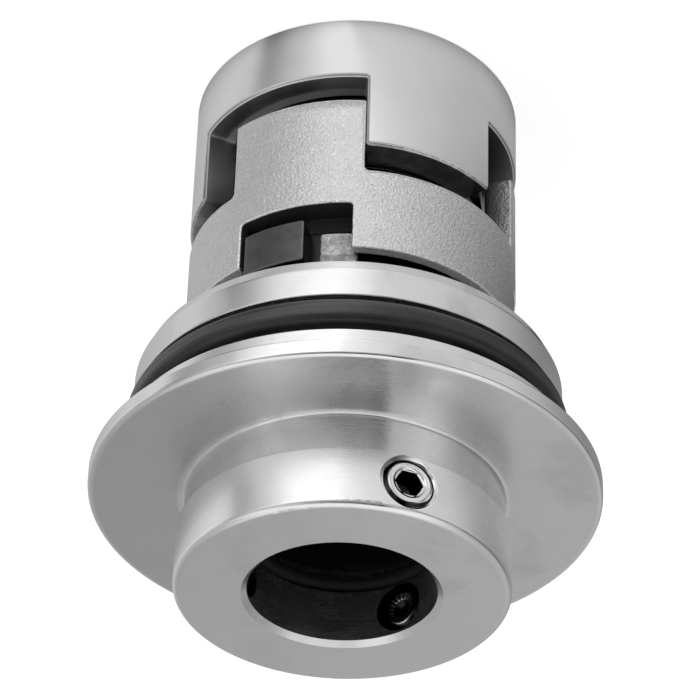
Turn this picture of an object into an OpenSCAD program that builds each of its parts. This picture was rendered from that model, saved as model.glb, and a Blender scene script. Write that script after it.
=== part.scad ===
// Cartridge shaft seal for a 22 mm pump shaft.
// It stands on the end of its drive cap, with the collar of the sleeve at the top.
// The shaft's axis is +Z and all sizes are in millimetres.
// Angles count anticlockwise from +X, seen from the collar's end.

/* [Sleeve] */
// Diameter of the pump shaft, and of the bore that takes it
shaft_d = 22; // [20:0.5:24]
// Wall of the lower tube, which the rotary ring's O-ring slides on
tube_wall = 2.4; // [2.2:0.1:2.6]
// Radial step between the lower tube and the thinner upper tube
balance_step = 0.9; // [0.6:0.1:1.1]
// Diameter of the collar
collar_d = 39; // [38:0.5:42]
// Height of the collar
collar_h = 7.7; // [7.2:0.1:10]
// Rounding of the collar's outer edge
collar_round = 0.8; // [0.3:0.1:1.2]
// Chamfer at the bore's mouth
mouth_chamfer = 0.65; // [0.3:0.05:0.9]
// Section of the O-ring in the bore, as squeezed by the shaft
sleeve_ring_section = 2.0; // [1.8:0.1:2.2]
// Width of the O-ring's groove in the bore
sleeve_groove_w = 3.0; // [2.6:0.1:3.2]
// Distance of the sleeve's step below the running faces
step_drop = 2.2; // [1.8:0.1:2.6]
// Height of the wall between the groove in the bore and the set screws' holes
groove_wall = 0.1; // [0.1:0.05:0.2]
// Height of the shoulder under the groove in the bore
shoulder_lip = 1.0; // [0.8:0.1:1.2]

/* [Set screws] */
// Diameter of the set screws
screw_d = 6; // [5:0.5:6]
// Length of a set screw
screw_len = 7.3; // [6.5:0.1:7.6]
// Depth of a screw's head under the collar's surface
screw_depth = 1.0; // [0.6:0.1:1.2]
// Distance from the collar's end face to the screws' axes
screw_drop = 4.05; // [3.9:0.05:4.2]
// Size of the hexagon socket across its flats
hex_af = 3; // [2.5:0.5:3]
// Depth of the hexagon socket
hex_depth = 3; // [2:0.5:3.5]
// Chamfer at a screw's head; its point has twice that
screw_chamfer = 0.5; // [0.3:0.1:0.5]
// Width of the countersink at the mouth of a screw's hole
screw_mouth = 0.4; // [0.2:0.1:0.5]

/* [Seat carrier] */
// Diameter of the neck under the collar
neck_d = 37.4; // [36.6:0.2:38]
// Height of the neck
neck_h = 5.0; // [4.4:0.2:7]
// Clearance between the neck's bore and the sleeve's shoulder
neck_gap = 0.7; // [0.5:0.1:0.8]
// Height of the free space in the neck's bore, under the sleeve's shoulder
neck_room = 0.9; // [0.6:0.1:1]
// Rounding where the neck meets the flange
neck_fillet = 0.4; // [0.2:0.1:0.6]
// Diameter of the flange plate
flange_d = 60.2; // [58:0.2:70]
// Thickness of the flange plate
flange_t = 2.1; // [1.8:0.1:4]
// Rounding of the flange's upper edge
rim_round = 0.55; // [0.3:0.05:0.7]
// Diameter of the land under the flange
land_d = 54.6; // [53.6:0.2:56]
// Height of the land
land_h = 3.9; // [3:0.1:6]
// Width of the chamfer under the land
land_chamfer_w = 0.8; // [0.4:0.1:1]
// Height of the chamfer under the land
land_chamfer_h = 0.6; // [0.4:0.1:1]
// Diameter of the register disc at the carrier's lower end
disc_d = 51; // [50:0.5:52]
// Height of the register disc
disc_h = 5.36; // [5:0.02:7]
// Height of the lead-in chamfer under the register disc
lead_in_h = 1.76; // [1.2:0.02:2.2]
// Width of the lead-in chamfer under the register disc
lead_in_w = 0.85; // [0.5:0.05:1]
// Section of the carrier's O-ring
carrier_ring_section = 3.54; // [3.4:0.02:4]
// Width of the groove for the carrier's O-ring
carrier_groove_w = 5.5; // [4.8:0.1:6]
// Depth of the groove for the carrier's O-ring
carrier_groove_depth = 2.75; // [2.6:0.05:2.9]
// Distance of the O-ring from the middle of its groove, towards the disc
carrier_ring_shift = 0.45; // [0:0.05:0.5]

/* [Seal faces] */
// Height of the stationary seat
seat_h = 10.7; // [10:0.1:12]
// Depth of the seat's pocket in the carrier
pocket_depth = 8.66; // [8.2:0.02:9.4]
// Wall of the seat's back part, round the sleeve
seat_wall = 3.2; // [3:0.1:3.4]
// Height of the seat's back part, beside its O-ring
seat_back_h = 3.7; // [3.5:0.1:4]
// Section of the seat's O-ring
seat_ring_section = 2.0; // [1.8:0.1:2.1]
// Diameter of the pins that stop the seat from turning
pin_d = 2; // [1.6:0.1:2]
// Length of those pins
pin_len = 4.4; // [4:0.1:5]
// Length of a pin that stands in the seat's slot
pin_reach = 2; // [1.6:0.1:2.2]
// Chamfer at the seat's edges
seat_chamfer = 0.3; // [0.2:0.05:0.4]
// Height of the rotary ring
ring_h = 8.2; // [7.6:0.05:9]
// Height of the rotary ring's narrow nose, which runs on the seat
nose_h = 1.2; // [0.8:0.1:1.6]
// Radial width of the nose's running face
face_w = 2.0; // [1.6:0.1:2.2]
// Radial step from the rotary ring's bore to its nose
nose_step = 0.5; // [0.3:0.1:0.5]
// Chamfer at the rotary ring's upper edges
ring_chamfer = 0.3; // [0.2:0.05:0.35]
// Section of the rotary ring's O-ring
ring_o_section = 2.4; // [2.2:0.1:2.5]
// Wall of the rotary ring round its O-ring
ring_wall = 0.8; // [0.7:0.1:0.9]
// Angle that one lug of the rotary ring takes up
ring_lug_angle = 23.3; // [18:0.1:24]
// Height of the rotary ring's lugs
ring_lug_h = 5.7; // [4:0.05:6]
// Angle between a lug of the rotary ring and the far edge of its notch
ring_lug_lag = 1.4; // [1.2:0.1:1.6]

/* [Driver] */
// Diameter of the driver
driver_d = 40; // [39.4:0.2:41]
// Wall of the driver round the rotary ring
rim_wall = 1.4; // [1:0.1:1.5]
// Wall of the driver's lower lugs
lug_wall = 3.4; // [3:0.1:3.6]
// Height of the solid ring between the lugs and the web
skirt_h = 1.7; // [1.5:0.1:2.6]
// Thickness of the web that carries the rotary ring
web_t = 3.25; // [2.8:0.05:5]
// Height of the boss on the web, under the rotary ring
boss_h = 1.95; // [1.6:0.05:3]
// Depth of the notches that open towards the carrier
notch_h = 6.55; // [5.8:0.05:7]
// Angle of one notch
notch_angle = 41.4; // [39:0.1:42.5]
// Angle from the cap's driving flank to the notch
notch_lag = 3.9; // [3.6:0.1:4.6]
// Height of the lower lugs
lug_h = 10.6; // [8:0.1:10.8]
// Angle of one lower lug
lug_angle = 49.5; // [40:0.5:54]
// Rounding in the notches' corners
notch_round = 0.5; // [0.4:0.1:1]
// Rounding between a lower lug and the ring above it
lug_round = 0.6; // [0.3:0.1:1]
// Angle of an inner dog from the notch's edge to its driving face
dog_reach = 11.8; // [9:0.1:12]
// Height of an inner dog
dog_h = 4.9; // [3.5:0.1:5]
// Height of the dogs' lower end above the notches' floor
dog_lift = 3.25; // [2.5:0.05:3.5]
// Angle of the part of a dog that lies behind the rim
dog_root = 4.4; // [4:0.1:4.6]
// Radial step between the rim's inner face and a dog's outer face
dog_step = 0.3; // [0.2:0.05:0.5]

/* [Drive cap] */
// Diameter of the drive cap
cap_d = 40.2; // [39.6:0.2:41]
// Wall of the drive cap
cap_wall = 3.4; // [3:0.1:3.6]
// Height of the cap's solid part, under the slots
cap_base_h = 8.8; // [8:0.1:12]
// Height of the cap's lugs between the slots
cap_lug_h = 10.45; // [9:0.05:11.5]
// Angle of one slot between the cap's lugs
slot_angle = 69.5; // [66:0.5:71]
// Rounding in the slots' corners
slot_round = 0.4; // [0.2:0.1:1]
// Thickness of the cap's floor
floor_t = 2.8; // [2.2:0.1:3.4]
// Depth of the recess under the floor, which holds the retaining ring
recess_h = 1.6; // [1.4:0.1:2]
// Radial width of that recess, round the sleeve
recess_w = 1.6; // [1.4:0.1:1.8]
// Rounding of the cap's lower edge
cap_round = 0.3; // [0.2:0.1:1]
// Width of the keys that turn the cap with the sleeve
key_w = 4; // [3:0.5:5]
// Depth of the keys' slots in the sleeve
key_depth = 1; // [0.8:0.1:1.2]

/* [Spring and small rings] */
// Diameter of the spring's wire
wire_d = 1.8; // [1.4:0.1:1.9]
// Height of the spring as fitted
spring_h = 19.6; // [18.5:0.1:22]
// Number of turns, with the two closed ones
spring_turns = 7; // [6:1:7]
// Thickness of the washer between the spring and the driver
washer_t = 0.8; // [0.6:0.1:1.2]
// Thickness of the retaining ring
retainer_t = 1.0; // [0.8:0.1:1.2]
// Radial depth of the retaining ring's groove
retainer_groove = 0.8; // [0.6:0.1:1]
// Angle of the retaining ring's gap
retainer_gap = 24; // [16:1:40]

/* [Clearances] */
// Radial clearance of an O-ring on the sleeve that slides past it
slide_fit = 0.05; // [0.03:0.01:0.08]
// Radial clearance of a set screw in its hole
screw_fit = 0.05; // [0.03:0.01:0.08]
// Clearance between round parts that turn past each other
running_gap = 0.3; // [0.25:0.05:0.4]
// Clearance between parts that never turn past each other
seat_gap = 0.05; // [0.03:0.01:0.1]
// Clearance between the flanks of lugs that drive each other
flank_gap = 0.1; // [0.05:0.05:0.2]

/* [Hidden] */
$fn = 96;

// Lugs, notches, slots and set screws all come three to a turn
third = 120;
LUGS = [0, third, 2 * third];
// Direction of the flank on which the cap drives the driver
drive_angle = 266.6;
// Direction of the first set screw
screw_angle = 248.5;
// Direction of the first seat pin
pin_angle = 40;
// Free space round and under a seat pin
pin_room = 0.15;
// Small chamfer that breaks a turned edge
edge_break = 0.25;
// Small distance that lets a cutter pass through a face
over = 1;
// Clearance round the sleeve of the parts that never touch it
sleeve_room = running_gap + 0.1;

// Radii of the sleeve
bore_r = shaft_d / 2;
tube_r = bore_r + tube_wall;
upper_r = tube_r - balance_step;
collar_r = collar_d / 2;
sleeve_groove_r = bore_r + sleeve_ring_section + seat_gap;
shoulder_r = sleeve_groove_r + tube_wall;

// Radii of the rotary ring and its O-ring
ring_o_r = tube_r + slide_fit + ring_o_section / 2;
ring_pocket_r = ring_o_r + ring_o_section / 2 + seat_gap;
ring_body_r = ring_pocket_r + ring_wall;
ring_bore_r = tube_r + running_gap;
nose_r = ring_bore_r + nose_step;
driver_r = driver_d / 2;
ring_lug_r = driver_r - running_gap;

// Radii of the driver
rim_r = driver_r - rim_wall;
skirt_r = driver_r - lug_wall;
web_bore_r = tube_r + sleeve_room;
dog_r = ring_body_r + running_gap;

// Radii of the cap
cap_r = cap_d / 2;
cap_inner_r = cap_r - cap_wall;
recess_r = tube_r + recess_w;

// Radii of the carrier and the seat
land_r = land_d / 2;
disc_r = disc_d / 2;
flange_r = flange_d / 2;
neck_r = neck_d / 2;
seat_bore_r = tube_r + sleeve_room;
seat_back_r = seat_bore_r + seat_wall;
seat_o_r = seat_back_r + seat_gap + seat_ring_section / 2;
pocket_r = seat_o_r + seat_ring_section / 2 + seat_gap;
seat_r = pocket_r - running_gap;
carrier_bore_r = seat_bore_r + 2 * seat_gap;
neck_bore_r = shoulder_r + neck_gap;
carrier_groove_r = disc_r - carrier_groove_depth;
carrier_o_r = carrier_groove_r + carrier_ring_section / 2 + seat_gap / 2;
pin_r = seat_bore_r + seat_wall / 2;

// Heights, stacked up from the cap's end face
floor_z = recess_h + floor_t;
slot_floor_z = cap_base_h;
cap_end_z = slot_floor_z + cap_lug_h;
washer_z = floor_z + spring_h;
web_z = washer_z + washer_t;
skirt_z = web_z - skirt_h;
lug_end_z = skirt_z - lug_h;
notch_z = web_z + web_t;
boss_z = notch_z + boss_h;
rim_z = notch_z + notch_h;
face_z = boss_z + ring_h;
seat_top_z = face_z + seat_h;
disc_z = seat_top_z - pocket_depth;
carrier_groove_z = disc_z + disc_h;
land_z = carrier_groove_z + carrier_groove_w;
flange_z = land_z + land_h;
neck_z = flange_z + flange_t;
collar_z = neck_z + neck_h;
top_z = collar_z + collar_h;

// Heights of the sleeve's details
screw_z = top_z - screw_drop;
sleeve_end_z = 0.3;
step_z = face_z - step_drop;
sleeve_groove_z = screw_z - screw_d / 2 - screw_fit - groove_wall - sleeve_groove_w;
shoulder_z = sleeve_groove_z - shoulder_lip;
neck_bore_z = shoulder_z - neck_room;
retainer_z = recess_h - retainer_t - 2 * seat_gap;

// Directions of the lugs and notches of the first third of a turn
lug_start = drive_angle + arc_angle(flank_gap, driver_r);
slot_end = drive_angle + slot_angle;
notch_start = drive_angle + notch_lag;
notch_end = notch_start + notch_angle;
dog_end = notch_start + dog_reach;
ring_lug_end = notch_end - ring_lug_lag;

// The angle that an arc takes up at a radius
function arc_angle(len, r) = len / r * 180 / PI;

// Points of an arc round a centre
function arc_points(c, r, a0, a1, n) =
    [for (i = [0 : n]) c + r * [cos(a0 + (a1 - a0) * i / n), sin(a0 + (a1 - a0) * i / n)]];

// A rectangle in the half plane that is turned round the axis
module section(r0, r1, z0, z1) {
    translate([r0, z0]) square([r1 - r0, z1 - z0]);
}

// The triangle that breaks an outer or inner edge; dr and dz point into the solid
module edge(r, z, dr, dz) {
    polygon([[r - dr * 0.01, z - dz * 0.01], [r + dr, z - dz * 0.01], [r - dr * 0.01, z + dz]]);
}

// What is cut away to round an edge; sr and sz point from the corner into the solid
module round_edge(r, z, e, sr, sz) {
    difference() {
        translate([r + (sr > 0 ? -over : -e), z + (sz > 0 ? -over : -e)]) square([e + over, e + over]);
        translate([r + sr * e, z + sz * e]) circle(r = e);
        translate([r + (sr > 0 ? e : -e - 2 * over), z - 3 * over]) square([2 * over, 6 * over]);
        translate([r - 3 * over, z + (sz > 0 ? e : -e - 2 * over)]) square([6 * over, 2 * over]);
    }
}

// What fills an inner corner with a rounding; the corner opens outwards and upwards
module fillet(r, z, e) {
    difference() {
        translate([r - over, z - over]) square([e + over, e + over]);
        translate([r + e, z + e]) circle(r = e);
    }
}

// A closed ring of round section
module o_ring(r, z, d) {
    rotate_extrude() translate([r, z]) circle(r = d / 2, $fn = 32);
}

// A slice of the space round the axis, between two directions and two heights
// It reaches from half the radius r to well past it
module slice(a0, a1, r, z0, z1) {
    near = r / 2;
    far = r * 1.3;
    outline = concat([for (a = [a0, (a0 + a1) / 2, a1]) far * [cos(a), sin(a)]],
                     [for (a = [a1, a0]) near * [cos(a), sin(a)]]);
    translate([0, 0, z0]) linear_extrude(height = z1 - z0) polygon(outline);
}

// Material left in the corner between a radial flank and a level face of a gap
// Its arc ends a little short of both, so that no edge of it is thinner than the skin
// side is 1 where the gap lies anticlockwise of the flank; up is 1 where the face is below the gap
module corner(a, z, r, e, side, up) {
    skin = 0.03;
    short = 8;
    arc = arc_points([e, e], e, 270 - short, 180 + short, 6);
    outline = concat([[-skin, -skin], [e, -skin]], arc, [[-skin, e]]);
    rotate([0, 0, a]) translate([0, 0, z]) rotate([90, 0, 90]) linear_extrude(height = r + over)
        polygon([for (p = outline) [side * p[0], up * p[1]]]);
}

// A gap in a ring wall, open at one end and with rounded corners at the other
// closed_z is the height of the closed end, open_z that of the open one
module gap_cut(a0, a1, r, closed_z, open_z, e) {
    up = open_z > closed_z ? 1 : -1;
    difference() {
        slice(a0, a1, r, min(closed_z, open_z), max(closed_z, open_z));
        corner(a0, closed_z, r, e, 1, up);
        corner(a1, closed_z, r, e, -1, up);
    }
}

module shaft_sleeve() {
    color("gainsboro") difference() {
        rotate_extrude() difference() {
            union() {
                section(bore_r, tube_r, sleeve_end_z, step_z);
                section(bore_r, upper_r, step_z - over, collar_z);
                section(bore_r, shoulder_r, shoulder_z, collar_z);
                section(bore_r, collar_r, collar_z, top_z);
            }
            section(bore_r - over, sleeve_groove_r, sleeve_groove_z, sleeve_groove_z + sleeve_groove_w);
            section(tube_r - retainer_groove, tube_r + over, retainer_z, retainer_z + retainer_t);
            edge(bore_r, top_z, mouth_chamfer, -mouth_chamfer);
            edge(bore_r, sleeve_end_z, edge_break, edge_break);
            edge(tube_r, sleeve_end_z, -edge_break, edge_break);
            edge(tube_r, step_z, -edge_break, -edge_break);
            edge(collar_r, collar_z, -edge_break, edge_break);
            round_edge(collar_r, top_z, collar_round, -1, -1);
        }
        for (k = LUGS) {
            rotate([0, 0, screw_angle + k]) screw_hole();
            rotate([0, 0, k]) key_slot();
        }
    }
}

// A radial hole for a set screw, with its countersunk mouth
module screw_hole() {
    hole_r = screw_d / 2 + screw_fit;
    translate([0, 0, screw_z]) rotate([0, 90, 0]) {
        translate([0, 0, bore_r - over]) cylinder(r = hole_r, h = collar_r - bore_r + 2 * over);
        translate([0, 0, collar_r - screw_mouth])
            cylinder(r1 = hole_r, r2 = hole_r + 2 * screw_mouth, h = 2 * screw_mouth);
    }
}

// A shallow slot in the tube's end, which takes one key of the cap
module key_slot() {
    translate([tube_r - key_depth, -key_w / 2, -over])
        cube([key_depth + over, key_w, floor_z + over + seat_gap]);
}

module set_screw(k) {
    head = collar_r - screw_depth;
    tip = head - screw_len;
    point = 2 * screw_chamfer;
    color("silver") rotate([0, 0, screw_angle + third * (k - 1)]) translate([0, 0, screw_z]) rotate([0, 90, 0])
        difference() {
            rotate_extrude() difference() {
                section(0, screw_d / 2, tip, head);
                edge(screw_d / 2, head, -screw_chamfer, -screw_chamfer);
                edge(screw_d / 2, tip, -point, point);
                edge(0, tip, 1.25 * point, point);
            }
            translate([0, 0, head - hex_depth]) rotate([0, 0, 30])
                cylinder(r = hex_af / sqrt(3), h = hex_depth + over, $fn = 6);
        }
}

module sleeve_o_ring() {
    color("dimgray") o_ring(bore_r + seat_gap / 2 + sleeve_ring_section / 2,
                            sleeve_groove_z + sleeve_groove_w / 2, sleeve_ring_section);
}

module seat_carrier() {
    color("lightgray") difference() {
        rotate_extrude() difference() {
            union() {
                section(carrier_bore_r, disc_r, disc_z, carrier_groove_z);
                section(carrier_bore_r, carrier_groove_r, disc_z, flange_z);
                section(carrier_bore_r, land_r, land_z, flange_z);
                section(carrier_bore_r, flange_r, flange_z, neck_z);
                section(carrier_bore_r, neck_r, flange_z, collar_z);
                fillet(neck_r, neck_z, neck_fillet);
            }
            section(0, pocket_r, disc_z - over, seat_top_z);
            section(0, neck_bore_r, neck_bore_z, collar_z + over);
            edge(disc_r, disc_z, -lead_in_w, lead_in_h);
            edge(disc_r, carrier_groove_z, -edge_break, -edge_break);
            edge(land_r, land_z, -land_chamfer_w, land_chamfer_h);
            edge(pocket_r, disc_z, 2 * edge_break, 2 * edge_break);
            edge(neck_bore_r, collar_z, edge_break, -edge_break);
            edge(carrier_bore_r, neck_bore_z, edge_break, -edge_break);
            round_edge(flange_r, neck_z, rim_round, -1, -1);
            edge(flange_r, flange_z, -edge_break, edge_break);
            edge(neck_r, collar_z, -edge_break, -edge_break);
        }
        for (k = [0, 1]) seat_pin_hole(k);
    }
}

// The blind hole that a seat pin is pressed into
module seat_pin_hole(k) {
    rotate([0, 0, pin_angle + 180 * k]) translate([pin_r, 0, seat_top_z - over])
        cylinder(d = pin_d, h = over + pin_len - pin_reach + pin_room, $fn = 32);
}

module carrier_o_ring() {
    color("dimgray") o_ring(carrier_o_r, (carrier_groove_z + land_z) / 2 - carrier_ring_shift, carrier_ring_section);
}

module stationary_seat() {
    color("slategray") difference() {
        rotate_extrude() difference() {
            union() {
                section(seat_bore_r, seat_r, face_z, seat_top_z - seat_back_h);
                section(seat_bore_r, seat_back_r, face_z, seat_top_z);
            }
            edge(seat_r, face_z, -seat_chamfer, seat_chamfer);
            edge(seat_back_r, seat_top_z, -seat_chamfer, -seat_chamfer);
            edge(seat_bore_r, seat_top_z, seat_chamfer, -seat_chamfer);
        }
        for (k = [0, 1]) rotate([0, 0, pin_angle + 180 * k])
            translate([seat_bore_r - over, -pin_d / 2 - pin_room, seat_top_z - pin_reach - pin_room])
                cube([seat_wall + 2 * over, pin_d + 2 * pin_room, pin_reach + pin_room + over]);
    }
}

module seat_o_ring() {
    color("dimgray") o_ring(seat_o_r, seat_top_z - seat_back_h / 2, seat_ring_section);
}

module seat_pin(k) {
    color("silver") rotate([0, 0, pin_angle + 180 * (k - 1)]) translate([pin_r, 0, seat_top_z - pin_reach])
        cylinder(d = pin_d, h = pin_len, $fn = 32);
}

module rotary_ring() {
    color("darkslategray") union() {
        rotate_extrude() difference() {
            union() {
                section(ring_bore_r, ring_body_r, boss_z, face_z - nose_h);
                section(nose_r, nose_r + face_w, face_z - nose_h - over, face_z);
            }
            section(0, ring_pocket_r, boss_z - over, boss_z + ring_o_section + 4 * seat_gap);
            edge(ring_body_r, face_z - nose_h, -ring_chamfer, -ring_chamfer);
        }
        for (k = LUGS) rotate([0, 0, k]) ring_lug();
    }
}

module ring_lug() {
    intersection() {
        slice(ring_lug_end - ring_lug_angle, ring_lug_end, driver_r, boss_z, boss_z + ring_lug_h);
        rotate_extrude() difference() {
            section(ring_body_r - ring_wall / 2, ring_lug_r, boss_z, boss_z + ring_lug_h);
            edge(ring_lug_r, boss_z + ring_lug_h, -ring_chamfer, -ring_chamfer);
        }
    }
}

module ring_o_ring() {
    color("dimgray") o_ring(ring_o_r, boss_z + ring_o_section / 2 + seat_gap, ring_o_section);
}

module driver() {
    lug_end = lug_start + lug_angle;
    color("darkgray") union() {
        difference() {
            rotate_extrude() difference() {
                union() {
                    section(web_bore_r, driver_r, web_z, notch_z);
                    section(skirt_r, driver_r, lug_end_z, web_z + over);
                    section(web_bore_r, ring_body_r, web_z, boss_z);
                    section(rim_r, driver_r, notch_z - over, rim_z);
                }
                edge(driver_r, rim_z, -edge_break, -edge_break);
                edge(driver_r, lug_end_z, -edge_break, edge_break);
            }
            for (k = LUGS) rotate([0, 0, k]) {
                gap_cut(notch_start, notch_end, driver_r, notch_z, rim_z + over, notch_round);
                gap_cut(lug_end, lug_start + third, driver_r, skirt_z, lug_end_z - over, lug_round);
            }
        }
        for (k = LUGS) rotate([0, 0, k]) driver_dog();
    }
}

// An inner dog on the rim, beside a notch, which turns the rotary ring by its lug
module driver_dog() {
    dog_start = notch_start - dog_root;
    outer_r = rim_r - dog_step;
    low_z = notch_z + dog_lift;
    bite = rim_wall / 3;
    inset = 0.5;
    intersection() {
        slice(dog_start, dog_end, driver_r, low_z, low_z + dog_h);
        rotate_extrude() section(dog_r, outer_r, low_z, low_z + dog_h);
    }
    intersection() {
        slice(dog_start + inset, notch_start - inset, driver_r, low_z + bite / 2, rim_z - bite);
        rotate_extrude() section(outer_r - bite, rim_r + bite, low_z + bite / 2, rim_z - bite);
    }
}

module spring_washer() {
    color("silver") rotate_extrude()
        section(tube_r + sleeve_room, skirt_r - sleeve_room, washer_z, web_z);
}

// Gap between the closed turns, and height of the wire's centre at a ground end in wire diameters
turn_gap = 0.2;
ground = 0.3;

// Height of the wire's centre after t turns: closed turns at both ends, open ones between
function wire_z(t) =
    let (closed_pitch = wire_d + turn_gap,
         start = ground * wire_d,
         open_pitch = (spring_h - 2 * start - 2 * closed_pitch) / (spring_turns - 2))
    t < 1 ? start + closed_pitch * t
    : t > spring_turns - 1 ? spring_h - start - closed_pitch * (spring_turns - t)
    : start + closed_pitch + open_pitch * (t - 1);

// A coil of round wire, with its ends ground flat where they bear on the cap and the washer
module spring() {
    sides = 8;
    steps = 24;
    rings = spring_turns * steps;
    coil_r = (tube_r + skirt_r) / 2;
    function point(i, j) =
        let (a = 360 * i / steps, b = 360 * (j + 0.5) / sides, r = coil_r + wire_d / 2 * cos(b),
             z = wire_z(i / steps) + wire_d / 2 * sin(b))
        [r * cos(a), r * sin(a), floor_z + min(max(z, 0), spring_h)];
    points = [for (i = [0 : rings], j = [0 : sides - 1]) point(i, j)];
    side_faces = [for (i = [0 : rings - 1], j = [0 : sides - 1])
        let (a = i * sides + j, b = i * sides + (j + 1) % sides)
        [a, b, b + sides, a + sides]];
    start_face = [for (j = [sides - 1 : -1 : 0]) j];
    end_face = [for (j = [0 : sides - 1]) rings * sides + j];
    color("silver") polyhedron(points, concat(side_faces, [start_face, end_face]), convexity = 10);
}

module drive_cap() {
    color("whitesmoke") difference() {
        union() {
            rotate_extrude() difference() {
                section(tube_r + seat_gap, cap_r, 0, cap_end_z);
                section(0, cap_inner_r, floor_z, cap_end_z + over);
                section(0, recess_r, -over, recess_h);
                round_edge(cap_r, 0, cap_round, -1, 1);
                edge(recess_r, 0, edge_break, edge_break);
            }
            for (k = LUGS) rotate([0, 0, k]) cap_key();
        }
        for (k = LUGS) rotate([0, 0, k])
            gap_cut(drive_angle, slot_end, cap_r, slot_floor_z, cap_end_z + over, slot_round);
    }
}

// A key on the cap's floor, which fits a slot in the sleeve's end
module cap_key() {
    translate([tube_r - key_depth + seat_gap, -key_w / 2 + seat_gap, recess_h])
        cube([key_depth + seat_gap, key_w - 2 * seat_gap, floor_t]);
}

module retaining_ring() {
    play = seat_gap / 2;
    color("silver") difference() {
        rotate_extrude()
            section(tube_r - retainer_groove + seat_gap, recess_r - seat_gap, retainer_z + play,
                    retainer_z + retainer_t - play);
        slice(-retainer_gap / 2, retainer_gap / 2, recess_r, retainer_z - over, retainer_z + retainer_t + over);
    }
}

shaft_sleeve();
set_screw(1);  // set_screw_1
set_screw(2);  // set_screw_2
set_screw(3);  // set_screw_3
sleeve_o_ring();
seat_carrier();
carrier_o_ring();
stationary_seat();
seat_o_ring();
seat_pin(1);  // seat_pin_1
seat_pin(2);  // seat_pin_2
rotary_ring();
ring_o_ring();
driver();
spring_washer();
spring();
drive_cap();
retaining_ring();
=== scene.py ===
"""Looks of a cartridge shaft seal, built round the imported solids.

Each operator makes one piece, or a group of like pieces, in metres and in the frame of the solids.
The seal stands on its drive cap and the shaft's axis is +Z. Directions count anticlockwise from +X.
"""
import math
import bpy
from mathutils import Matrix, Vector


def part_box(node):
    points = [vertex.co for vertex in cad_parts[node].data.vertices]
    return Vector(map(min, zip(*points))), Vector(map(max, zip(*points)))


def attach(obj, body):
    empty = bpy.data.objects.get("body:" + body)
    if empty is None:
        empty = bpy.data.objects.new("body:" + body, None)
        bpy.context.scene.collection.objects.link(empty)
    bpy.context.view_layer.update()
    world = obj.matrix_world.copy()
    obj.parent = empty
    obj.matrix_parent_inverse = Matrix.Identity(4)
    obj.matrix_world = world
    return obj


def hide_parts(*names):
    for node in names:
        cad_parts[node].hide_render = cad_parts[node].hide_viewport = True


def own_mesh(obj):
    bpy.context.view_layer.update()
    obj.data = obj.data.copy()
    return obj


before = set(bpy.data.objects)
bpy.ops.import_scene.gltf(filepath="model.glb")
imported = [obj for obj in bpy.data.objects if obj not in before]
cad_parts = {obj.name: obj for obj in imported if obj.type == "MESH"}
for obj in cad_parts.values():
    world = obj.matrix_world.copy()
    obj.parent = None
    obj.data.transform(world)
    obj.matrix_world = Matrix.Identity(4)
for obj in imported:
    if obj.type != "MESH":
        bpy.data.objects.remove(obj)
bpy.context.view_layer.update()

import bpy
import numpy as np
from bpy.props import FloatProperty, FloatVectorProperty, IntProperty, PointerProperty
from mathutils import Matrix, Vector

bl_info = {
    "name": "Cartridge shaft seal",
    "version": (1, 0, 0),
    "blender": (4, 5, 0),
    "location": "3D View > Sidebar > Seal",
    "description": "Fine shapes and metal finishes of a cartridge shaft seal",
    "category": "Object",
}

MM = 0.001
TURN = 2 * math.pi
THIRD = TURN / 3
ARC_STEPS = 4       # steps across a rounded edge
WALL_STEPS = 9      # rows of points between two edges of a wall
HOLD = 0.05 * MM    # straight piece beside a rounding, which keeps the faces next to it flat
CUT = 0.12 * MM     # how far a corner is cut back where nothing else is given
KEEN, FINE, SMALL, SOFT, MEDIUM, WIDE = (e * MM for e in (0.04, 0.1, 0.2, 0.25, 0.3, 0.5))  # other cuts


def length(name, description, millimetres):
    """A size of the seal, shown as a length."""
    return FloatProperty(name=name, description=description, default=millimetres * MM, unit="LENGTH",
                         precision=5)


def direction(name, description, degrees):
    """A direction round the shaft's axis, shown as an angle."""
    return FloatProperty(name=name, description=description, default=math.radians(degrees), subtype="ANGLE")


def share(name, description, value):
    """A number from 0 to 1."""
    return FloatProperty(name=name, description=description, default=value, min=0, max=1, subtype="FACTOR")


def grey(name, description, value):
    """A neutral colour."""
    return FloatVectorProperty(name=name, description=description, default=(value, value, value), size=3,
                               min=0, max=1, subtype="COLOR")


class CapSizes(bpy.types.PropertyGroup):
    """Sizes of the drive cap"""
    wall: length("Wall", "Thickness of the cap's wall", 4.05)
    floor: length("Floor", "Height of the floor's upper face", 4.4)
    recess_radius: length("Recess radius", "Radius of the recess under the floor", 15.0)
    recess: length("Recess", "Depth of the recess under the floor", 1.6)
    hole_radius: length("Hole radius", "Radius of the floor's hole, round the sleeve", 13.45)
    key_radius: length("Key radius", "Inner radius of the keys in the hole", 12.5)
    key_angle: direction("Key angle", "Angle of one key", 16.616)
    slot_floor: length("Slot floor", "Height of the slots' closed end", 8.8)
    slot_start: direction("Slot start", "Direction of the first slot's driving flank", 266.6)
    slot_angle: direction("Slot angle", "Angle of one slot", 69.5)
    corner: length("Corner", "Rounding in the slots' corners", 0.25)
    tip: length("Tip", "Rounding of the lugs' corners", 0.45)
    edge: length("Edge", "Width of the broken edge round the slots", 0.36)
    foot: length("Foot", "Rounding of the cap's lower edge", 0.3)


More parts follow.
